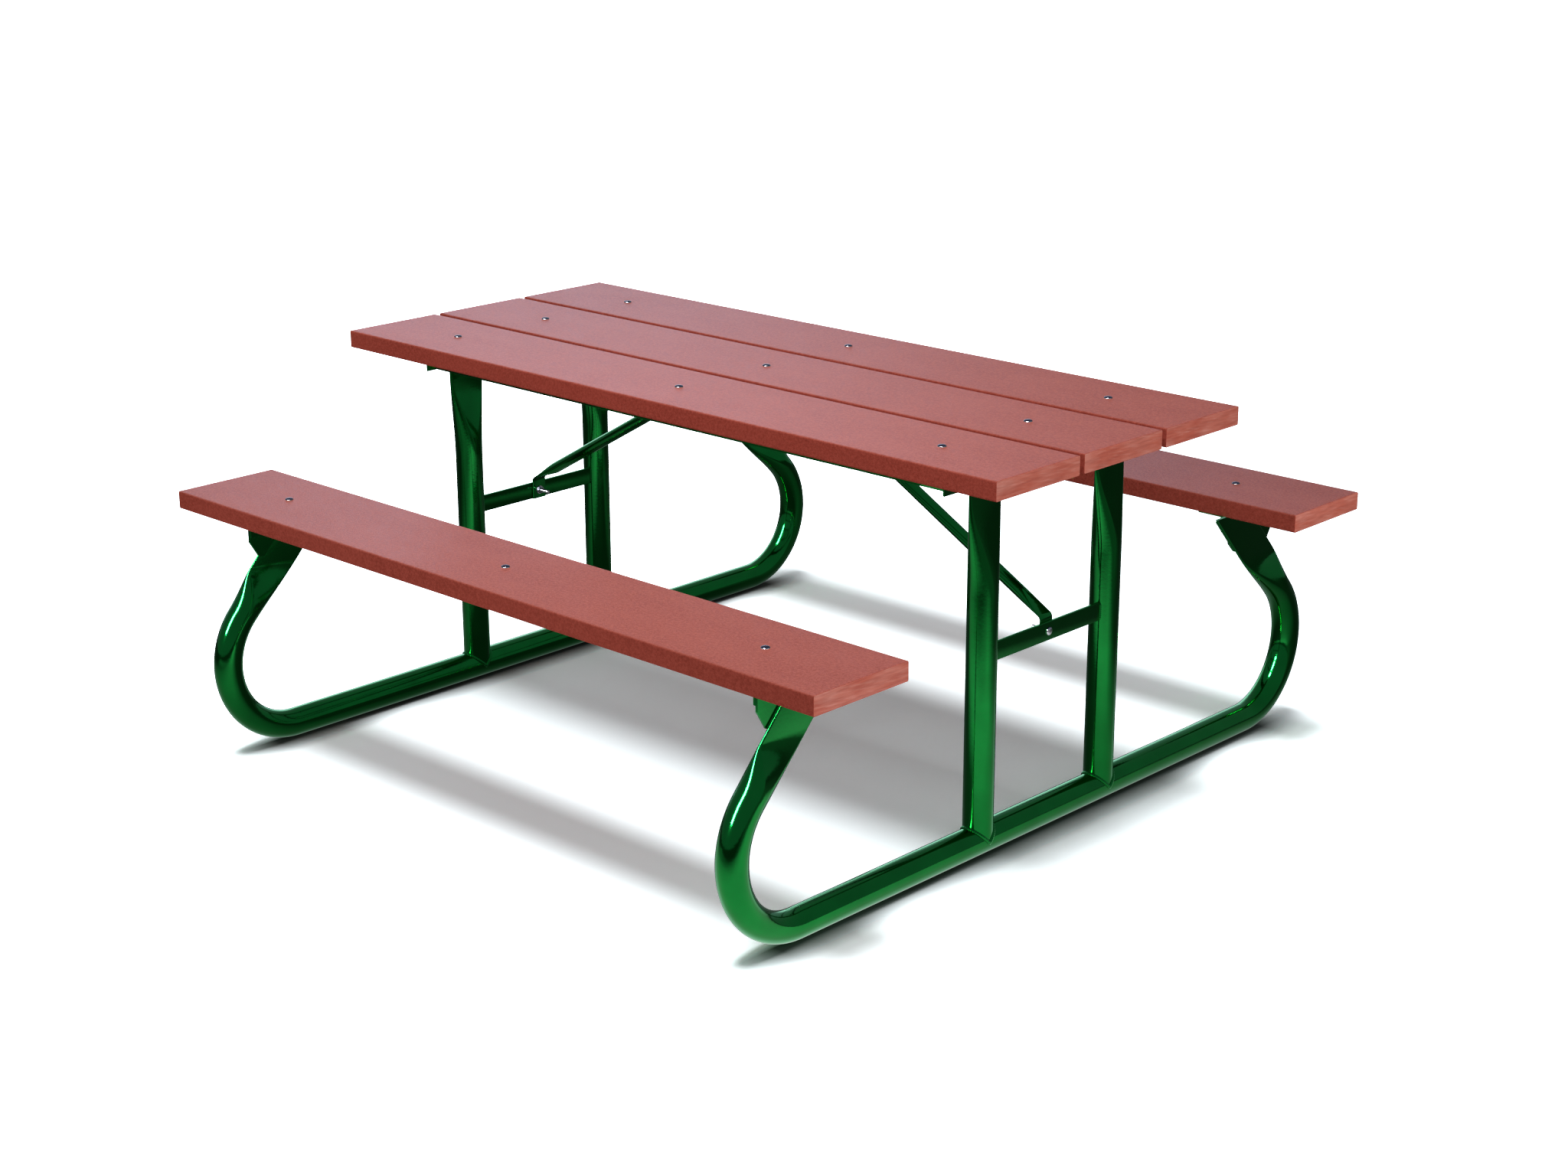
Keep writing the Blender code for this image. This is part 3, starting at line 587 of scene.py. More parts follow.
def postGrid(x, y):
    # round below, pressed flat across X above; the lowest ring follows the rail's round top:
    # z = rail height + sqrt(reach^2 - dx^2)
    top = table["topLevel"]
    taperTop = top - post["flatLength"]
    taperStart, foot = taperTop - post["taperLength"], tube["radius"] * 2
    level = stations((foot, foot + post["footStep"], taperStart, taperTop, top), post["steps"])
    share = ease((level - taperStart) / post["taperLength"])
    thin, wide = squashed(tube["radius"], tube["flatHalf"], share)
    centre = np.stack((np.full(len(level), x), np.full(len(level), y), level), -1)
    grid = pipeGrid(centre, everywhere(centre, (1.0, 0.0, 0.0)), everywhere(centre, (0.0, 1.0, 0.0)),
                    thin, wide, tube["wall"], tube["sides"])
    reach = tube["radius"] + post["copeGap"]
    for row in (0, -1):
        dx = grid[row, :, 0] - x
        grid[row, :, 2] = tube["radius"] + np.sqrt(reach ** 2 - dx ** 2)
    return grid


for sideName, sideX in sides.items():
    for rowName, rowSign in rows.items():
        grid = postGrid(sideX * table["frameX"], rowSign * post["y"])
        coatedPiece(f"post_{sideName}_{rowName}", ringGrid(grid))
print("frame tubes and posts made")


# Braces

tie = {"height": 0.408, "width": 0.038, "thickness": 0.006, "offset": 0.008}
brace = {"radius": 0.0127, "wall": 0.00165, "slit": 0.0006, "kneeRise": 0.029, "kneeRadius": 0.010,
         "headX": 0.150, "headRadius": 0.045, "tabEnd": 0.018, "flare": 0.070, "sides": 32,
         "steps": (4, 12, 60, 12, 8)}
brace["tabHalf"] = brace["wall"] + brace["slit"] / 2


def tabLevel(layer):
    # height of the middle of an upper tab: under the middle strap, one tab lower per layer
    strapUnderside = table["topLevel"] - table["barThickness"] - table["gap"]
    return strapUnderside - brace["tabHalf"] - layer * (2 * brace["tabHalf"] + table["gap"])


def makeBrace(sideName, sideX, layer):
    # a tube along tab, knee, slope, bend and upper tab, flat at both ends and round between
    face = sideX * table["frameX"] + tie["offset"] - sideX * tie["thickness"] / 2
    tabX = abs(face) - table["gap"] - brace["tabHalf"]
    foot = tie["height"] - tie["width"] / 2
    kneeZ, headZ = tie["height"] + brace["kneeRise"], tabLevel(layer)
    slope = math.atan2(headZ - kneeZ, tabX - brace["headX"])
    kneeTurn = math.pi / 2 - slope
    kneeCut = brace["kneeRadius"] * math.tan(kneeTurn / 2)
    headCut = brace["headRadius"] * math.tan(slope / 2)
    span = math.hypot(headZ - kneeZ, tabX - brace["headX"]) - kneeCut - headCut
    moves = [(kneeZ - foot - kneeCut, 0), (brace["kneeRadius"] * kneeTurn, kneeTurn), (span, 0),
             (brace["headRadius"] * slope, slope), (brace["headX"] - headCut + brace["tabEnd"], 0)]
    marks = np.cumsum([0.0] + [length for length, _ in moves])
    distance = stations(marks, brace["steps"])
    place, heading = pathAlong(distance, (tabX, foot), math.pi / 2, moves)
    fromFlat = np.minimum(distance - marks[2], marks[3] - distance)
    share = 1 - ease(fromFlat / brace["flare"])
    thin, wide = squashed(brace["radius"], brace["tabHalf"], share)
    zero = np.zeros(len(distance))
    centre = np.stack((sideX * place[:, 0], zero, place[:, 1]), -1)
    normal = np.stack((sideX * np.sin(heading), zero, -np.cos(heading)), -1)
    grid = pipeGrid(centre, everywhere(centre, (0.0, 1.0, 0.0)), normal, wide, thin, brace["wall"],
                    brace["sides"])
    coatedPiece(f"brace_{sideName}", ringGrid(grid))


makeBrace("right", 1, 0)
makeBrace("left", -1, 1)
print("braces made")


# Flat bars, angles and plates, all with rounded corners and broken end edges

bar = {"flange": 0.0635, "leg": 0.038, "longLeg": 0.032, "thickness": 0.005, "toe": 0.0025,
       "heel": 0.0014, "root": 0.005, "edge": 0.0006, "crossHalf": 0.305, "longY": 0.295,
       "bracketIn": 0.110, "bracketOut": 0.0735, "outerDrop": 0.049, "innerDrop": 0.067,
       "lap": 0.010, "plateCorner": 0.0008, "plateToe": 0.002, "strapCorner": 0.0012,
       "tieCorner": 0.001, "tieClear": 0.0006, "overlap": 0.001, "angleSteps": 6, "plateSteps": 4,
       "legSteps": 3, "tieSteps": 5, "tieRows": 9}
bar["crossHeel"] = table["frameX"] - tube["flatHalf"] - table["gap"]
bar["bracketHeel"] = bar["crossHeel"] - bar["thickness"] - table["gap"]
bar["outerTip"] = table["seatLevel"] - curl["flatDrop"] + 2 * bar["lap"]
bar["innerTip"] = table["seatLevel"] - bar["innerDrop"] - 2 * bar["lap"]


def roundedOutline(corners, radii, steps):
    # each corner becomes an arc that touches both sides: its ends lie radius / tan(half angle)
    # from the corner, and points between them turn about the arc's centre
    corners = np.asarray(corners, float)
    points = []
    for k, radius in enumerate(radii):
        here = corners[k]
        back, ahead = corners[k - 1] - here, corners[(k + 1) % len(corners)] - here
        back, ahead = back / np.linalg.norm(back), ahead / np.linalg.norm(ahead)
        half = math.acos(np.clip(back @ ahead, -1, 1)) / 2
        mid = (back + ahead) / np.linalg.norm(back + ahead)
        centre = here + mid * radius / math.sin(half)
        first = here + back * radius / math.tan(half) - centre
        last = here + ahead * radius / math.tan(half) - centre
        a, b = math.atan2(first[1], first[0]), math.atan2(last[1], last[0])
        turn = (b - a + math.pi) % (2 * math.pi) - math.pi
        angle = a + turn * np.linspace(0, 1, steps)
        points.append(centre + radius * np.stack((np.cos(angle), np.sin(angle)), -1))
    return np.concatenate(points)


def rectangle(low, high, corner, steps):
    # a rectangle from its low corner to its high one, with round corners
    corners = [low, (high[0], low[1]), high, (low[0], high[1])]
    return roundedOutline(corners, [corner] * 4, steps)


def insetOutline(points, inset):
    # every point moved inwards along the mean of its two sides' normals
    before, after = points - np.roll(points, 1, 0), np.roll(points, -1, 0) - points
    way = unit(unit(before) + unit(after))
    turn = np.sign(np.sum(points[:, 0] * after[:, 1] - after[:, 0] * points[:, 1]))
    return points + inset * turn * np.stack((-way[:, 1], way[:, 0]), -1)


def barShell(outline, axis, low, high):
    # an outline drawn along an axis, its two end edges broken; the outline's own axes are the
    # other two in X, Y, Z order
    edge = bar["edge"]
    small = insetOutline(outline, edge)
    rings = [np.insert(ring, axis, place, axis=1)
             for place, ring in ((low, small), (low + edge, outline), (high - edge, outline),
                                 (high, small))]
    return closedGrid(np.stack(rings))


def angleOutline(heel, flangeWay, top, leg):
    # heel corner at the top, flange level, leg down: rounded toes and a round root between them
    w, t = flangeWay, bar["thickness"]
    corners = [(heel, top), (heel + w * bar["flange"], top), (heel + w * bar["flange"], top - t),
               (heel + w * t, top - t), (heel + w * t, top - leg), (heel, top - leg)]
    radii = [bar["heel"], bar["edge"], bar["toe"], bar["root"], bar["toe"], bar["edge"]]
    return roundedOutline(corners, radii, bar["angleSteps"])


def makeBar(node, shell):
    coatedPiece(node, shell, sharp["bar"])


def makeLongAngle(node, heelY, flangeWay, top, legEnd, flangeEnd):
    # the angle itself, and at each end the bare leg that runs on to the bar across it
    low, high = top - bar["longLeg"], top - bar["thickness"] - table["gap"]
    inner, outer = sorted((heelY, heelY + flangeWay * bar["thickness"]))
    leg = rectangle((inner, low), (outer, high), bar["edge"], bar["legSteps"])
    outline = angleOutline(heelY, flangeWay, top, bar["longLeg"])
    legStart = flangeEnd - bar["overlap"]
    makeBar(node, joined(barShell(outline, 0, -flangeEnd, flangeEnd),
                         barShell(leg, 0, -legEnd, -legStart), barShell(leg, 0, legStart, legEnd)))


def curlEdge(side, height, inset):
    # Y of the flattened curl's outer (1) or inner (-1) edge at a height
    angle, radius = curl["bendAngle"], curl["bendRadius"]
    startY = curl["railHalf"] + radius * math.sin(angle)
    startZ = tube["radius"] + radius * (1 - math.cos(angle))
    out = side * (tube["flatWide"] - inset)
    return startY + (height - startZ) / math.tan(angle) + out / math.sin(angle)


def gussetCorners():
    top, lap, outerTip, innerTip = table["seatLevel"], bar["lap"], bar["outerTip"], bar["innerTip"]
    arch = top - bar["outerDrop"]
    innerY, outerY = table["seatY"] - bar["bracketIn"], table["seatY"] + bar["bracketOut"]
    return [(innerY, top), (outerY, top), (outerY, arch), (curlEdge(1, outerTip, 0), outerTip),
            (curlEdge(1, outerTip, lap), outerTip), (curlEdge(1, arch, lap), arch),
            (curlEdge(-1, arch, lap), arch), (curlEdge(-1, innerTip, lap), innerTip),
            (curlEdge(-1, innerTip, 0), innerTip), (innerY + 2 * lap, top - bar["innerDrop"])]


def makeBars():
    gusset = np.asarray(gussetCorners())
    radii = np.full(len(gusset), bar["plateCorner"])
    radii[[2, -1]] = bar["plateToe"]
    for sideName, s in sides.items():
        outline = angleOutline(s * bar["crossHeel"], -s, table["topLevel"], bar["leg"])
        makeBar(f"cross_angle_{sideName}", barShell(outline, 1, -bar["crossHalf"], bar["crossHalf"]))
        faces = sorted((s * bar["crossHeel"], s * (bar["crossHeel"] - bar["thickness"])))
        outline = angleOutline(s * bar["bracketHeel"], -s, table["seatLevel"], bar["leg"])
        for rowName, rowSign in rows.items():
            ends = sorted((rowSign * (table["seatY"] - bar["bracketIn"]),
                           rowSign * (table["seatY"] + bar["bracketOut"])))
            makeBar(f"seat_angle_{sideName}_{rowName}", barShell(outline, 1, *ends))
            plate = roundedOutline(gusset * (rowSign, 1), radii, bar["plateSteps"])
            makeBar(f"seat_gusset_{sideName}_{rowName}", barShell(plate, 0, *faces))
    # the long bars stop short of the bars across them: legs at the leg, flanges at the flange
    short = bar["thickness"] + table["gap"], bar["flange"] + table["gap"]
    railY = table["seatY"] + bar["flange"] / 2
    for rowName, rowSign in rows.items():
        for name, heelY, top, heelX in (
                ("long_angle", bar["longY"], table["topLevel"], bar["crossHeel"]),
                ("seat_rail", railY, table["seatLevel"], bar["bracketHeel"])):
            makeLongAngle(f"{name}_{rowName}", rowSign * heelY, -rowSign, top,
                          *(heelX - less for less in short))
    halfX, halfY, high = bar["flange"] / 2, bar["longY"] - short[1], table["topLevel"]
    outline = rectangle((-halfX, high - bar["thickness"]), (halfX, high), bar["strapCorner"],
                        bar["plateSteps"])
    makeBar("centre_strap", barShell(outline, 1, -halfY, halfY))


def makeTieBar(sideName, s):
    # a flat bar whose ends follow the posts: y = post y - sqrt(reach^2 - dx^2) - gap
    half, thick = tie["width"] / 2, tie["thickness"] / 2
    outline = rectangle((-thick, -half), (thick, half), bar["tieCorner"], bar["tieSteps"])
    x, z = tie["offset"] + outline[:, 0], tie["height"] + outline[:, 1]
    endY = post["y"] - np.sqrt((tube["radius"] + bar["tieClear"]) ** 2 - x ** 2) - table["gap"]
    share = np.linspace(-1, 1, bar["tieRows"])[:, None]
    grid = np.stack(np.broadcast_arrays(s * table["frameX"] + x, share * endY, z), -1)
    makeBar(f"tie_bar_{sideName}", closedGrid(grid))


makeBars()
for sideName, sideX in sides.items():
    makeTieBar(sideName, sideX)
print("bars made")


# Bolts, nuts and washers, built hanging below z = 0 and then put in place

bolt = {"head": 0.0086, "headHeight": 0.00395, "rim": 0.0008, "undercut": 0.985, "shank": 0.004,
        "pitch": 0.00125, "threadDepth": 0.0004, "threadRunOut": 0.001, "threadBehind": 0.002,
        "stickOut": 0.007, "tieStickOut": 0.022, "domeStart": 4, "domeSteps": 12, "pitchSteps": 6,
        "sides": 32}
nut = {"acrossFlats": 0.0127, "height": 0.0068, "faceShare": 0.475, "cone": math.radians(30),
       "chamfer": 0.0005, "washer": 0.0095, "washerThickness": 0.0016, "washerEdge": 0.0002,
       "sides": 48}


def boltShell(grip, stickOut):
    # dome rows (R sin t, rim + (H - rim) cos t), flat underside, shank, then a thread whose radius
    # falls and rises by a triangle wave of z / pitch + angle / 2 pi, and a chamfered end
    t = np.radians(np.linspace(bolt["domeStart"], 90, bolt["domeSteps"]))
    end = -(grip + nut["washerThickness"] + nut["height"] + stickOut)
    threadTop = end + stickOut + nut["height"] + bolt["threadBehind"]
    domeZ = bolt["rim"] + (bolt["headHeight"] - bolt["rim"]) * np.cos(t)
    threadZ = np.arange(threadTop, end + bolt["threadDepth"], -bolt["pitch"] / bolt["pitchSteps"])
    angle = np.arange(bolt["sides"]) / bolt["sides"]
    wave = np.abs(2 * ((threadZ[:, None] / bolt["pitch"] + angle) % 1.0) - 1)
    fade = np.clip((threadTop - threadZ) / bolt["threadRunOut"], 0, 1)[:, None]
    full = np.ones((1, bolt["sides"]))
    radii = np.concatenate((bolt["head"] * np.sin(t)[:, None] * full,
                            bolt["head"] * bolt["undercut"] * full, bolt["shank"] * full,
                            bolt["shank"] - bolt["threadDepth"] * wave * fade,
                            (bolt["shank"] - 2 * bolt["threadDepth"]) * full))
    heights = np.concatenate((domeZ, [0.0, 0.0], threadZ, [end]))
    return closedGrid(turned(radii, heights, bolt["sides"]))


def nutShells(top):
    # hexagon: radius = half flats / cos(angle from the nearest flat's middle), its corners cut by
    # a cone; washer: a flat ring with broken edges
    angle = np.arange(nut["sides"]) * 360 / nut["sides"]
    hexR = nut["acrossFlats"] / 2 / np.cos(np.radians((angle + 30) % 60 - 30))
    bore, face = bolt["shank"] + table["gap"], nut["acrossFlats"] * nut["faceShare"]
    drop, cut = (hexR - face) * math.tan(nut["cone"]), nut["chamfer"]
    high = top - nut["washerThickness"]
    low = high - nut["height"]
    radii = np.stack(np.broadcast_arrays(bore, bore + cut, face, hexR, hexR, face, bore + cut, bore))
    heights = np.stack(np.broadcast_arrays(high - cut, high, high, high - drop, low + drop, low, low,
                                           low + cut))
    washerR, edge = nut["washer"], nut["washerEdge"]
    ring = turned((bore, washerR - edge, washerR, washerR, washerR - edge, bore),
                  (top, top, top - edge, high + edge, high, high), nut["sides"])
    return ringGrid(turned(radii, heights, nut["sides"])), ringGrid(ring)


def placed(shell, place, turn=None):
    points = shell[0] if turn is None else shell[0] @ np.asarray(turn, float).T
    return points + np.asarray(place, float), shell[1]


def makeFasteners():
    grip = 2 * table["gap"] + table["plankThickness"] + table["barThickness"]
    centreGrip = grip + 2 * (2 * brace["tabHalf"] + table["gap"])
    for rowName, rowY, rowTop, _ in plankRows:
        isSeat = rowName.startswith("seat")
        for station, x in (("left", -1), ("middle", 0), ("right", 1)):
            reach = centreGrip if rowName == "centre" and x == 0 else grip
            place = (x * table["boltX"], rowY, rowTop)
            shell, nutParts = boltShell(reach, bolt["stickOut"]), joined(*nutShells(-reach))
            if isSeat and x == 0:
                shell = joined(shell, nutParts)
            else:
                zincPiece(f"nut_{rowName}_{station}", placed(nutParts, place), sharp["nut"])
            zincPiece(f"bolt_{rowName}_{station}", placed(shell, place), sharp["bolt"])


def makeTieBolts():
    # turned so that the head faces outwards along X
    grip = tie["thickness"] + 2 * brace["tabHalf"] + 3 * table["gap"]
    for sideName, s in sides.items():
        shell = joined(boltShell(grip, bolt["tieStickOut"]), *nutShells(-grip))
        turn = ((0, 0, s), (0, 1, 0), (-s, 0, 0))
        place = (s * table["frameX"] + tie["offset"] + s * (tie["thickness"] / 2 + table["gap"]),
                 0, tie["height"])
        zincPiece(f"tie_bolt_{sideName}", placed(shell, place, turn), sharp["bolt"])


makeFasteners()
makeTieBolts()
print("fasteners made")


# Weld beads

weld = {"footRadius": 0.0036, "footSteps": 160, "ripple": 0.0042, "rippleDepth": 0.16, "sides": 12,
        "perRipple": 4, "leastEnd": 0.02, "plateRadius": 0.0022, "plateOut": 0.0008, "plateIn": 0.0006,
        "plateTop": 0.004, "postRadius": 0.0018, "postOut": 0.0006, "postFoot": 0.001,
        "postTop": 0.003, "tieRadius": 0.0024, "tieShare": 0.94, "guard": 1e-9}


def beadShell(points, radius, closed):
    # a round bead along a line: radius * (1 + depth * sin(2 pi s / ripple)), frames from the
    # line's tangent and, for a loop, the way from its middle, or else X; an open bead's ends
    # are rounded by sqrt(distance to the end / 2 radius)
    if closed:
        tangent, outward = np.roll(points, -1, 0) - np.roll(points, 1, 0), points - points.mean(0)
    else:
        tangent, outward = np.gradient(points, axis=0), everywhere(points, (1.0, 0.0, 0.0))
    tangent = unit(tangent, 0.0)
    outward = unit(outward - tangent * (outward * tangent).sum(1, keepdims=True), weld["guard"])
    binormal = np.cross(tangent, outward)
    steps = np.linalg.norm(np.diff(points, axis=0), axis=1)
    s = np.concatenate(([0.0], np.cumsum(steps)))
    size = radius * (1 + weld["rippleDepth"] * np.sin(2 * math.pi * s / weld["ripple"]))
    if not closed:
        toEnd = np.minimum(s, s[-1] - s) / (2 * radius)
        size *= np.sqrt(np.clip(toEnd, weld["leastEnd"], 1.0))
    turn = np.arange(weld["sides"]) * 2 * math.pi / weld["sides"]
    grid = points[:, None] + size[:, None, None] * (
        outward[:, None] * np.cos(turn)[:, None] + binormal[:, None] * np.sin(turn)[:, None])
    return ringGrid(grid) if closed else closedGrid(grid)


def footBead(x, y):
    # the line where the post's round foot meets the rail: z = r + sqrt(r^2 - dx^2) round the post
    r = tube["radius"]
    angle = np.linspace(0, 2 * math.pi, weld["footSteps"], endpoint=False)
    dx = r * np.cos(angle)
    z = r + np.sqrt(np.maximum(r * r - dx * dx, 0.0))
    return np.stack((x + dx, y + r * np.sin(angle), z), -1)


def straightBead(start, end, radius):
    # an open bead from start to end, with so many points to a ripple
    start, end = np.asarray(start, float), np.asarray(end, float)
    ripples = np.linalg.norm(end - start) / weld["ripple"]
    count = int(ripples * weld["perRipple"]) + weld["perRipple"]
    return beadShell(start + (end - start) * np.linspace(0, 1, count)[:, None], radius, False)


def plateBeads(s, rowSign):
    # along both edges of the curl's flat end where it lies on the gusset
    x = s * (bar["crossHeel"] + weld["plateOut"])
    top = table["seatLevel"] - weld["plateTop"]
    shells = []
    for side, low in ((1, bar["outerTip"]), (-1, bar["innerTip"])):
        ends = [(x, rowSign * (curlEdge(side, z, 0) - side * weld["plateIn"]), z) for z in (low, top)]
        shells.append(straightBead(*ends, weld["plateRadius"]))
    return shells


def postBeads(s, y):
    # along both edges of the post's flat top where it lies on the cross angle's leg
    x = s * (bar["crossHeel"] + weld["postOut"])
    low, high = table["topLevel"] - bar["leg"] + weld["postFoot"], table["topLevel"] - weld["postTop"]
    return [straightBead(*((x, edgeY, z) for z in (low, high)), weld["postRadius"])
            for edgeY in (y - tube["flatWide"], y + tube["flatWide"])]


def tieBeads(s, rowSign):
    # down both faces of the tie bar where it meets the post
    reach = weld["tieShare"] * tie["width"] / 2
    shells = []
    for face in (-1, 1):
        x = tie["offset"] + face * tie["thickness"] / 2
        y = post["y"] - math.sqrt(tube["radius"] ** 2 - x ** 2)
        ends = [(s * table["frameX"] + x, rowSign * y, tie["height"] + step) for step in (-reach, reach)]
        shells.append(straightBead(*ends, weld["tieRadius"]))
    return shells


for sideName, sideX in sides.items():
    for rowName, rowSign in rows.items():
        bead = footBead(sideX * table["frameX"], rowSign * post["y"])
        shells = [beadShell(bead, weld["footRadius"], True), *plateBeads(sideX, rowSign),
                  *postBeads(sideX, rowSign * post["y"]), *tieBeads(sideX, rowSign)]
        makePiece(f"welds{sideName.capitalize()}{rowName.capitalize()}", joined(*shells), [],
                  coatMaterial, sharp["tube"])
print("welds made")


# Stage: a pale floor, which only the camera sees as white all over, and a studio round it.
# Reaches are distances in metres from the middle, along X, along Y or along a way

stage = {"floorHalf": 30.0, "cameraColor": (1.03, 1.125, 1.16), "contactColor": (0.02, 0.02, 0.02),
         "floorAlbedo": 0.55, "farAlbedo": 0.13, "farMirrored": 0.16,
         "paperWay": (0.64, 0.77, 0.0), "paperEdge": (0.95, 1.6), "frontWay": (0.687, -0.727, 0.0),
         "paperFront": (1.5, 2.3), "paperLeft": (-1.9, -1.1),
         "contactStart": (-0.02, 0.0), "contactFade": (0.02, 0.085), "contactEnd": (0.76, 0.90),
         "contactDepth": 0.95, "openX": (0.76, 1.0, 1.0, 1.7), "openY": (0.38, 0.52, 1.0, 1.36),
         "mirrored": 0.95, "underLevel": 0.15, "underX": (0.66, 0.80), "underY": (0.6, 0.95),
         "frontLevel": (-1.75, -1.1, 0.3, 1.0), "fallBase": 2.7, "fallStart": 1.1, "least": 0.045}


def makeFloor():
    size = stage["floorHalf"]
    mesh = bpy.data.meshes.new("floor")
    mesh.from_pydata([(-size, -size, 0), (size, -size, 0), (size, size, 0), (-size, size, 0)], [],
                     [(0, 1, 2, 3)])
    floor = addObject("floor", mesh)
    floor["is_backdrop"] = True
    material, tree, shader, coords = newMaterial("paperFloor")
    tree.nodes.remove(shader)
    place = addNode(tree, "ShaderNodeSeparateXYZ", {"Vector": coords}).outputs
    x, y = place["X"], place["Y"]
    besideX, besideY = mathNode(tree, "ABSOLUTE", x), mathNode(tree, "ABSOLUTE", y)
    # the paper ends some way to the back right, in front and to the left
    toFront = reachAlong(tree, coords, stage["frontWay"])
    toBack = reachAlong(tree, coords, stage["paperWay"])
    paper = times(tree, fading(tree, toBack, *stage["paperEdge"]),
                  fading(tree, toFront, *stage["paperFront"]))
    paper = times(tree, paper, mapValue(tree, x, *stage["paperLeft"]))
    albedo = between(tree, paper, stage["farAlbedo"], stage["floorAlbedo"])
    # a narrow contact shadow on the +X side of each rail
    shade = 0.0
    for frameX in (-table["frameX"], table["frameX"]):
        beside = mathNode(tree, "SUBTRACT", x, frameX)
        band = times(tree, fading(tree, beside, *stage["contactFade"]),
                     mapValue(tree, beside, *stage["contactStart"]))
        shade = mathNode(tree, "ADD", band, shade)
    shade = times(tree, shade, mapValue(tree, besideY, *stage["contactEnd"], stage["contactDepth"], 0.0))
    paint = mixColor(tree, shade, stage["cameraColor"], stage["contactColor"])
    # the shadows fade outside the frames and are lighter under the seats
    lift = times(tree, mapValue(tree, besideX, *stage["openX"]), mapValue(tree, besideY, *stage["openY"]))
    paint = addNode(tree, "ShaderNodeVectorMath", {"Vector": paint, "Scale": lift},
                    operation="SCALE").outputs["Vector"]
    path = addNode(tree, "ShaderNodeLightPath").outputs
    plain = mixColor(tree, path["Is Camera Ray"], albedo, paint)
    # mirrored in the coat the floor is an even light, darker under the table
    under = times(tree, fading(tree, besideX, *stage["underX"]),
                  fading(tree, besideY, *stage["underY"]))
    even = times(tree, between(tree, under, stage["mirrored"], stage["underLevel"]),
                 between(tree, paper, stage["farMirrored"], 1.0))
    # and it falls off towards the back: base ^ (distance to the front - start)
    fall = mathNode(tree, "SUBTRACT", toFront, stage["fallStart"])
    fall = mathNode(tree, "MINIMUM", mathNode(tree, "POWER", stage["fallBase"], fall), 1.0)
    even = times(tree, times(tree, even, fall), mapValue(tree, y, *stage["frontLevel"]))
    even = mathNode(tree, "MAXIMUM", even, stage["least"])
    diffuse = addNode(tree, "ShaderNodeBsdfDiffuse", {"Color": plain})
    glow = addNode(tree, "ShaderNodeEmission", {"Strength": even})
    both = addNode(tree, "ShaderNodeMixShader", {
        "Fac": path["Is Glossy Ray"], 1: diffuse.outputs[0], 2: glow.outputs[0]})
    feed(tree, tree.nodes["Material Output"], {"Surface": both.outputs[0]})
    mesh.materials.append(material)
    return floor


floor = makeFloor()

studio = {"ambient": 0.30, "dark": 0.24, "backdrop": 1.3, "backdropWay": (-0.85, 0.53, 0.0),
          "backdropEdge": (0.84, 0.97), "backdropTop": (0.30, 0.50), "tint": (0.88, 0.98, 1.12)}


def makeWorld():
    # the camera sees plain white; glossy rays see a white backdrop opposite the camera in a dark
    # studio; diffuse rays get one soft even light
    world = bpy.data.worlds.new("studio")
    bpy.context.scene.world = world
    world.use_nodes = True
    tree = world.node_tree
    path = addNode(tree, "ShaderNodeLightPath").outputs
    direction = addNode(tree, "ShaderNodeTexCoord").outputs["Generated"]
    height = addNode(tree, "ShaderNodeSeparateXYZ", {"Vector": direction}).outputs["Z"]
    behind = mapValue(tree, reachAlong(tree, direction, studio["backdropWay"]), *studio["backdropEdge"])
    screen = times(tree, behind, fading(tree, height, *studio["backdropTop"]))
    glossy = between(tree, screen, studio["dark"], studio["backdrop"])
    level = between(tree, path["Is Glossy Ray"], studio["ambient"], glossy)
    feed(tree, tree.nodes["Background"], {
        "Strength": between(tree, path["Is Camera Ray"], level, 1.0),
        "Color": mixColor(tree, path["Is Glossy Ray"], (1.0, 1.0, 1.0), studio["tint"])})


makeWorld()


def addLamp(name, kind, azimuth, elevation, distance, energy, lit, target=(0, 0, 0.4), **settings):
    # a lamp at an azimuth and elevation in degrees from the target, facing it, for one set of things
    data = bpy.data.lights.new(name, kind)
    data.energy = energy
    if kind == "AREA":
        data.shape = "RECTANGLE"
    for key, value in settings.items():
        setattr(data, key, value)
    lamp = addObject(name, data)
    way = wayAt(math.radians(azimuth), math.radians(elevation))
    x = np.cross((0, 0, 1), way)
    x /= np.linalg.norm(x)
    turnTo(lamp, x, np.cross(way, x), way)
    lamp.location = np.asarray(target) + distance * way
    lamp.light_linking.receiver_collection = lit
    return lamp


def group(name, members):
    made = bpy.data.collections.new(name)
    for member in members:
        made.objects.link(member)
    return made


# Sets of things that lamps are linked to: the floor, the planks and the metal
shown = [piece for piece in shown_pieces() if piece.type == "MESH"]
coated = [piece for piece in shown if piece.data.materials[0] == coatMaterial]
plated = [piece for piece in shown if piece.data.materials[0] == zincMaterial]
planks = [piece for piece in shown if piece not in coated + plated]
backSeat = [piece for piece in planks if piece.name == "seatBackPlank"]
onFloor = group("floorOnly", [floor])
onBackSeat = group("backSeatOnly", backSeat)
# the coat mirrors the even studio and not the planks' unlit undersides
for piece in planks:
    piece.visible_glossy = False

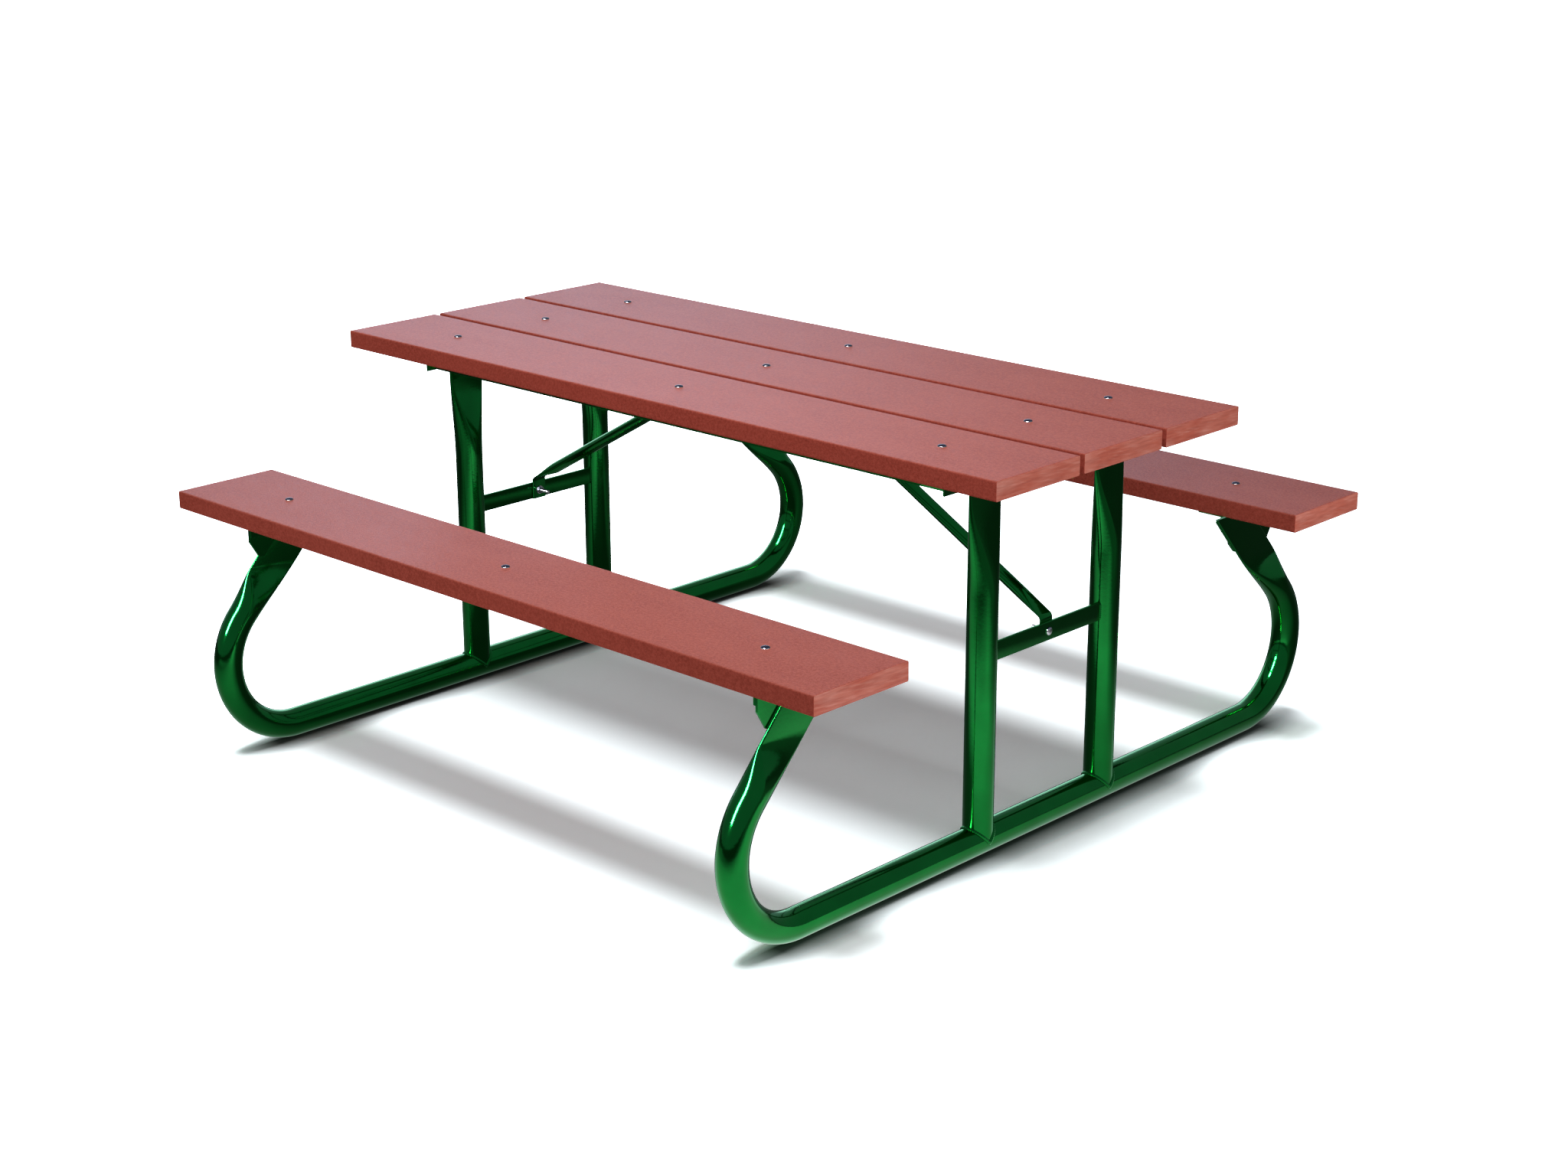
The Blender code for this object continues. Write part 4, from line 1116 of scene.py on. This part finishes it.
surfaceLamps = [
    addLamp("overhead", "SUN", -100, 82, 4, 3.4, onFloor, angle=math.radians(20)),
    addLamp("wideOverhead", "SUN", -100, 80, 4, 0.6, onFloor, angle=math.radians(125)),
    addLamp("endFill", "SUN", 10, 8, 4, 1.4, group("objectOnly", shown), angle=math.radians(30),
            use_shadow=False),
    addLamp("frontKey", "AREA", -82, 66, 2.9, 54,
            group("allButBackSeat", [piece for piece in shown if piece not in backSeat]),
            (0.1, -0.1, 0.6), size=2.4, size_y=0.8),
    addLamp("backKey", "AREA", -60, 60, 1.4, 7.5, onBackSeat, (0.95, 0.72, 0.5), size=0.8, size_y=0.6)]
mirroredPanels = [
    addLamp("frontBox", "AREA", -97, 42, 24, 20000,
            group("frameTubesOnly", [piece for piece in coated if piece.name.startswith("frameTube")]),
            size=4.2, size_y=17, use_shadow=False),
    addLamp("boltBox", "AREA", -70, 36, 24, 22000, group("zincOnly", plated), size=20, size_y=5),
    addLamp("skimPanel", "AREA", 141, 10, 24, 1600, group("planksOnly", planks), size=9, size_y=4,
            color=(0.59, 0.755, 1.0)),
    addLamp("backSkim", "AREA", 135, 10, 24, 1080, onBackSeat, size=12, size_y=4,
            color=(0.55, 0.73, 1.0))]
for lamp in surfaceLamps:
    lamp.visible_glossy = False
for lamp in mirroredPanels:
    lamp.visible_diffuse = False
    lamp.data.cycles.max_bounces = 1
print("lamps made")


# Camera

# The view: metres and degrees, lens and sensor in mm, and how far the picture's middle lies from
# the lens's, in pixels of a picture so wide
view = {"place": (3.614, -3.770, 2.019), "azimuth": -46.609, "elevation": 17.799, "roll": -0.139,
        "lens": 59.09, "sensor": 36.0, "offset": (0.54, -7.06), "width": 2048, "clipEnd": 200.0}


def makeCamera():
    data = bpy.data.cameras.new("photoView")
    camera = addObject("photoView", data)
    azimuth, elevation, roll = (math.radians(view[key]) for key in ("azimuth", "elevation", "roll"))
    back = wayAt(azimuth, elevation)
    right = np.array((-math.sin(azimuth), math.cos(azimuth), 0.0))
    up = np.cross(back, right)
    turnTo(camera, math.cos(roll) * right + math.sin(roll) * up,
           math.cos(roll) * up - math.sin(roll) * right, back)
    camera.location = view["place"]
    data.sensor_fit = "HORIZONTAL"
    data.sensor_width = view["sensor"]
    data.lens = view["lens"]
    data.shift_x = -view["offset"][0] / view["width"]
    data.shift_y = view["offset"][1] / view["width"]
    data.clip_end = view["clipEnd"]
    bpy.context.scene.camera = camera


makeCamera()
bpy.context.scene.view_settings.view_transform = "Standard"

bpy.context.view_layer.update()
print("scene done")
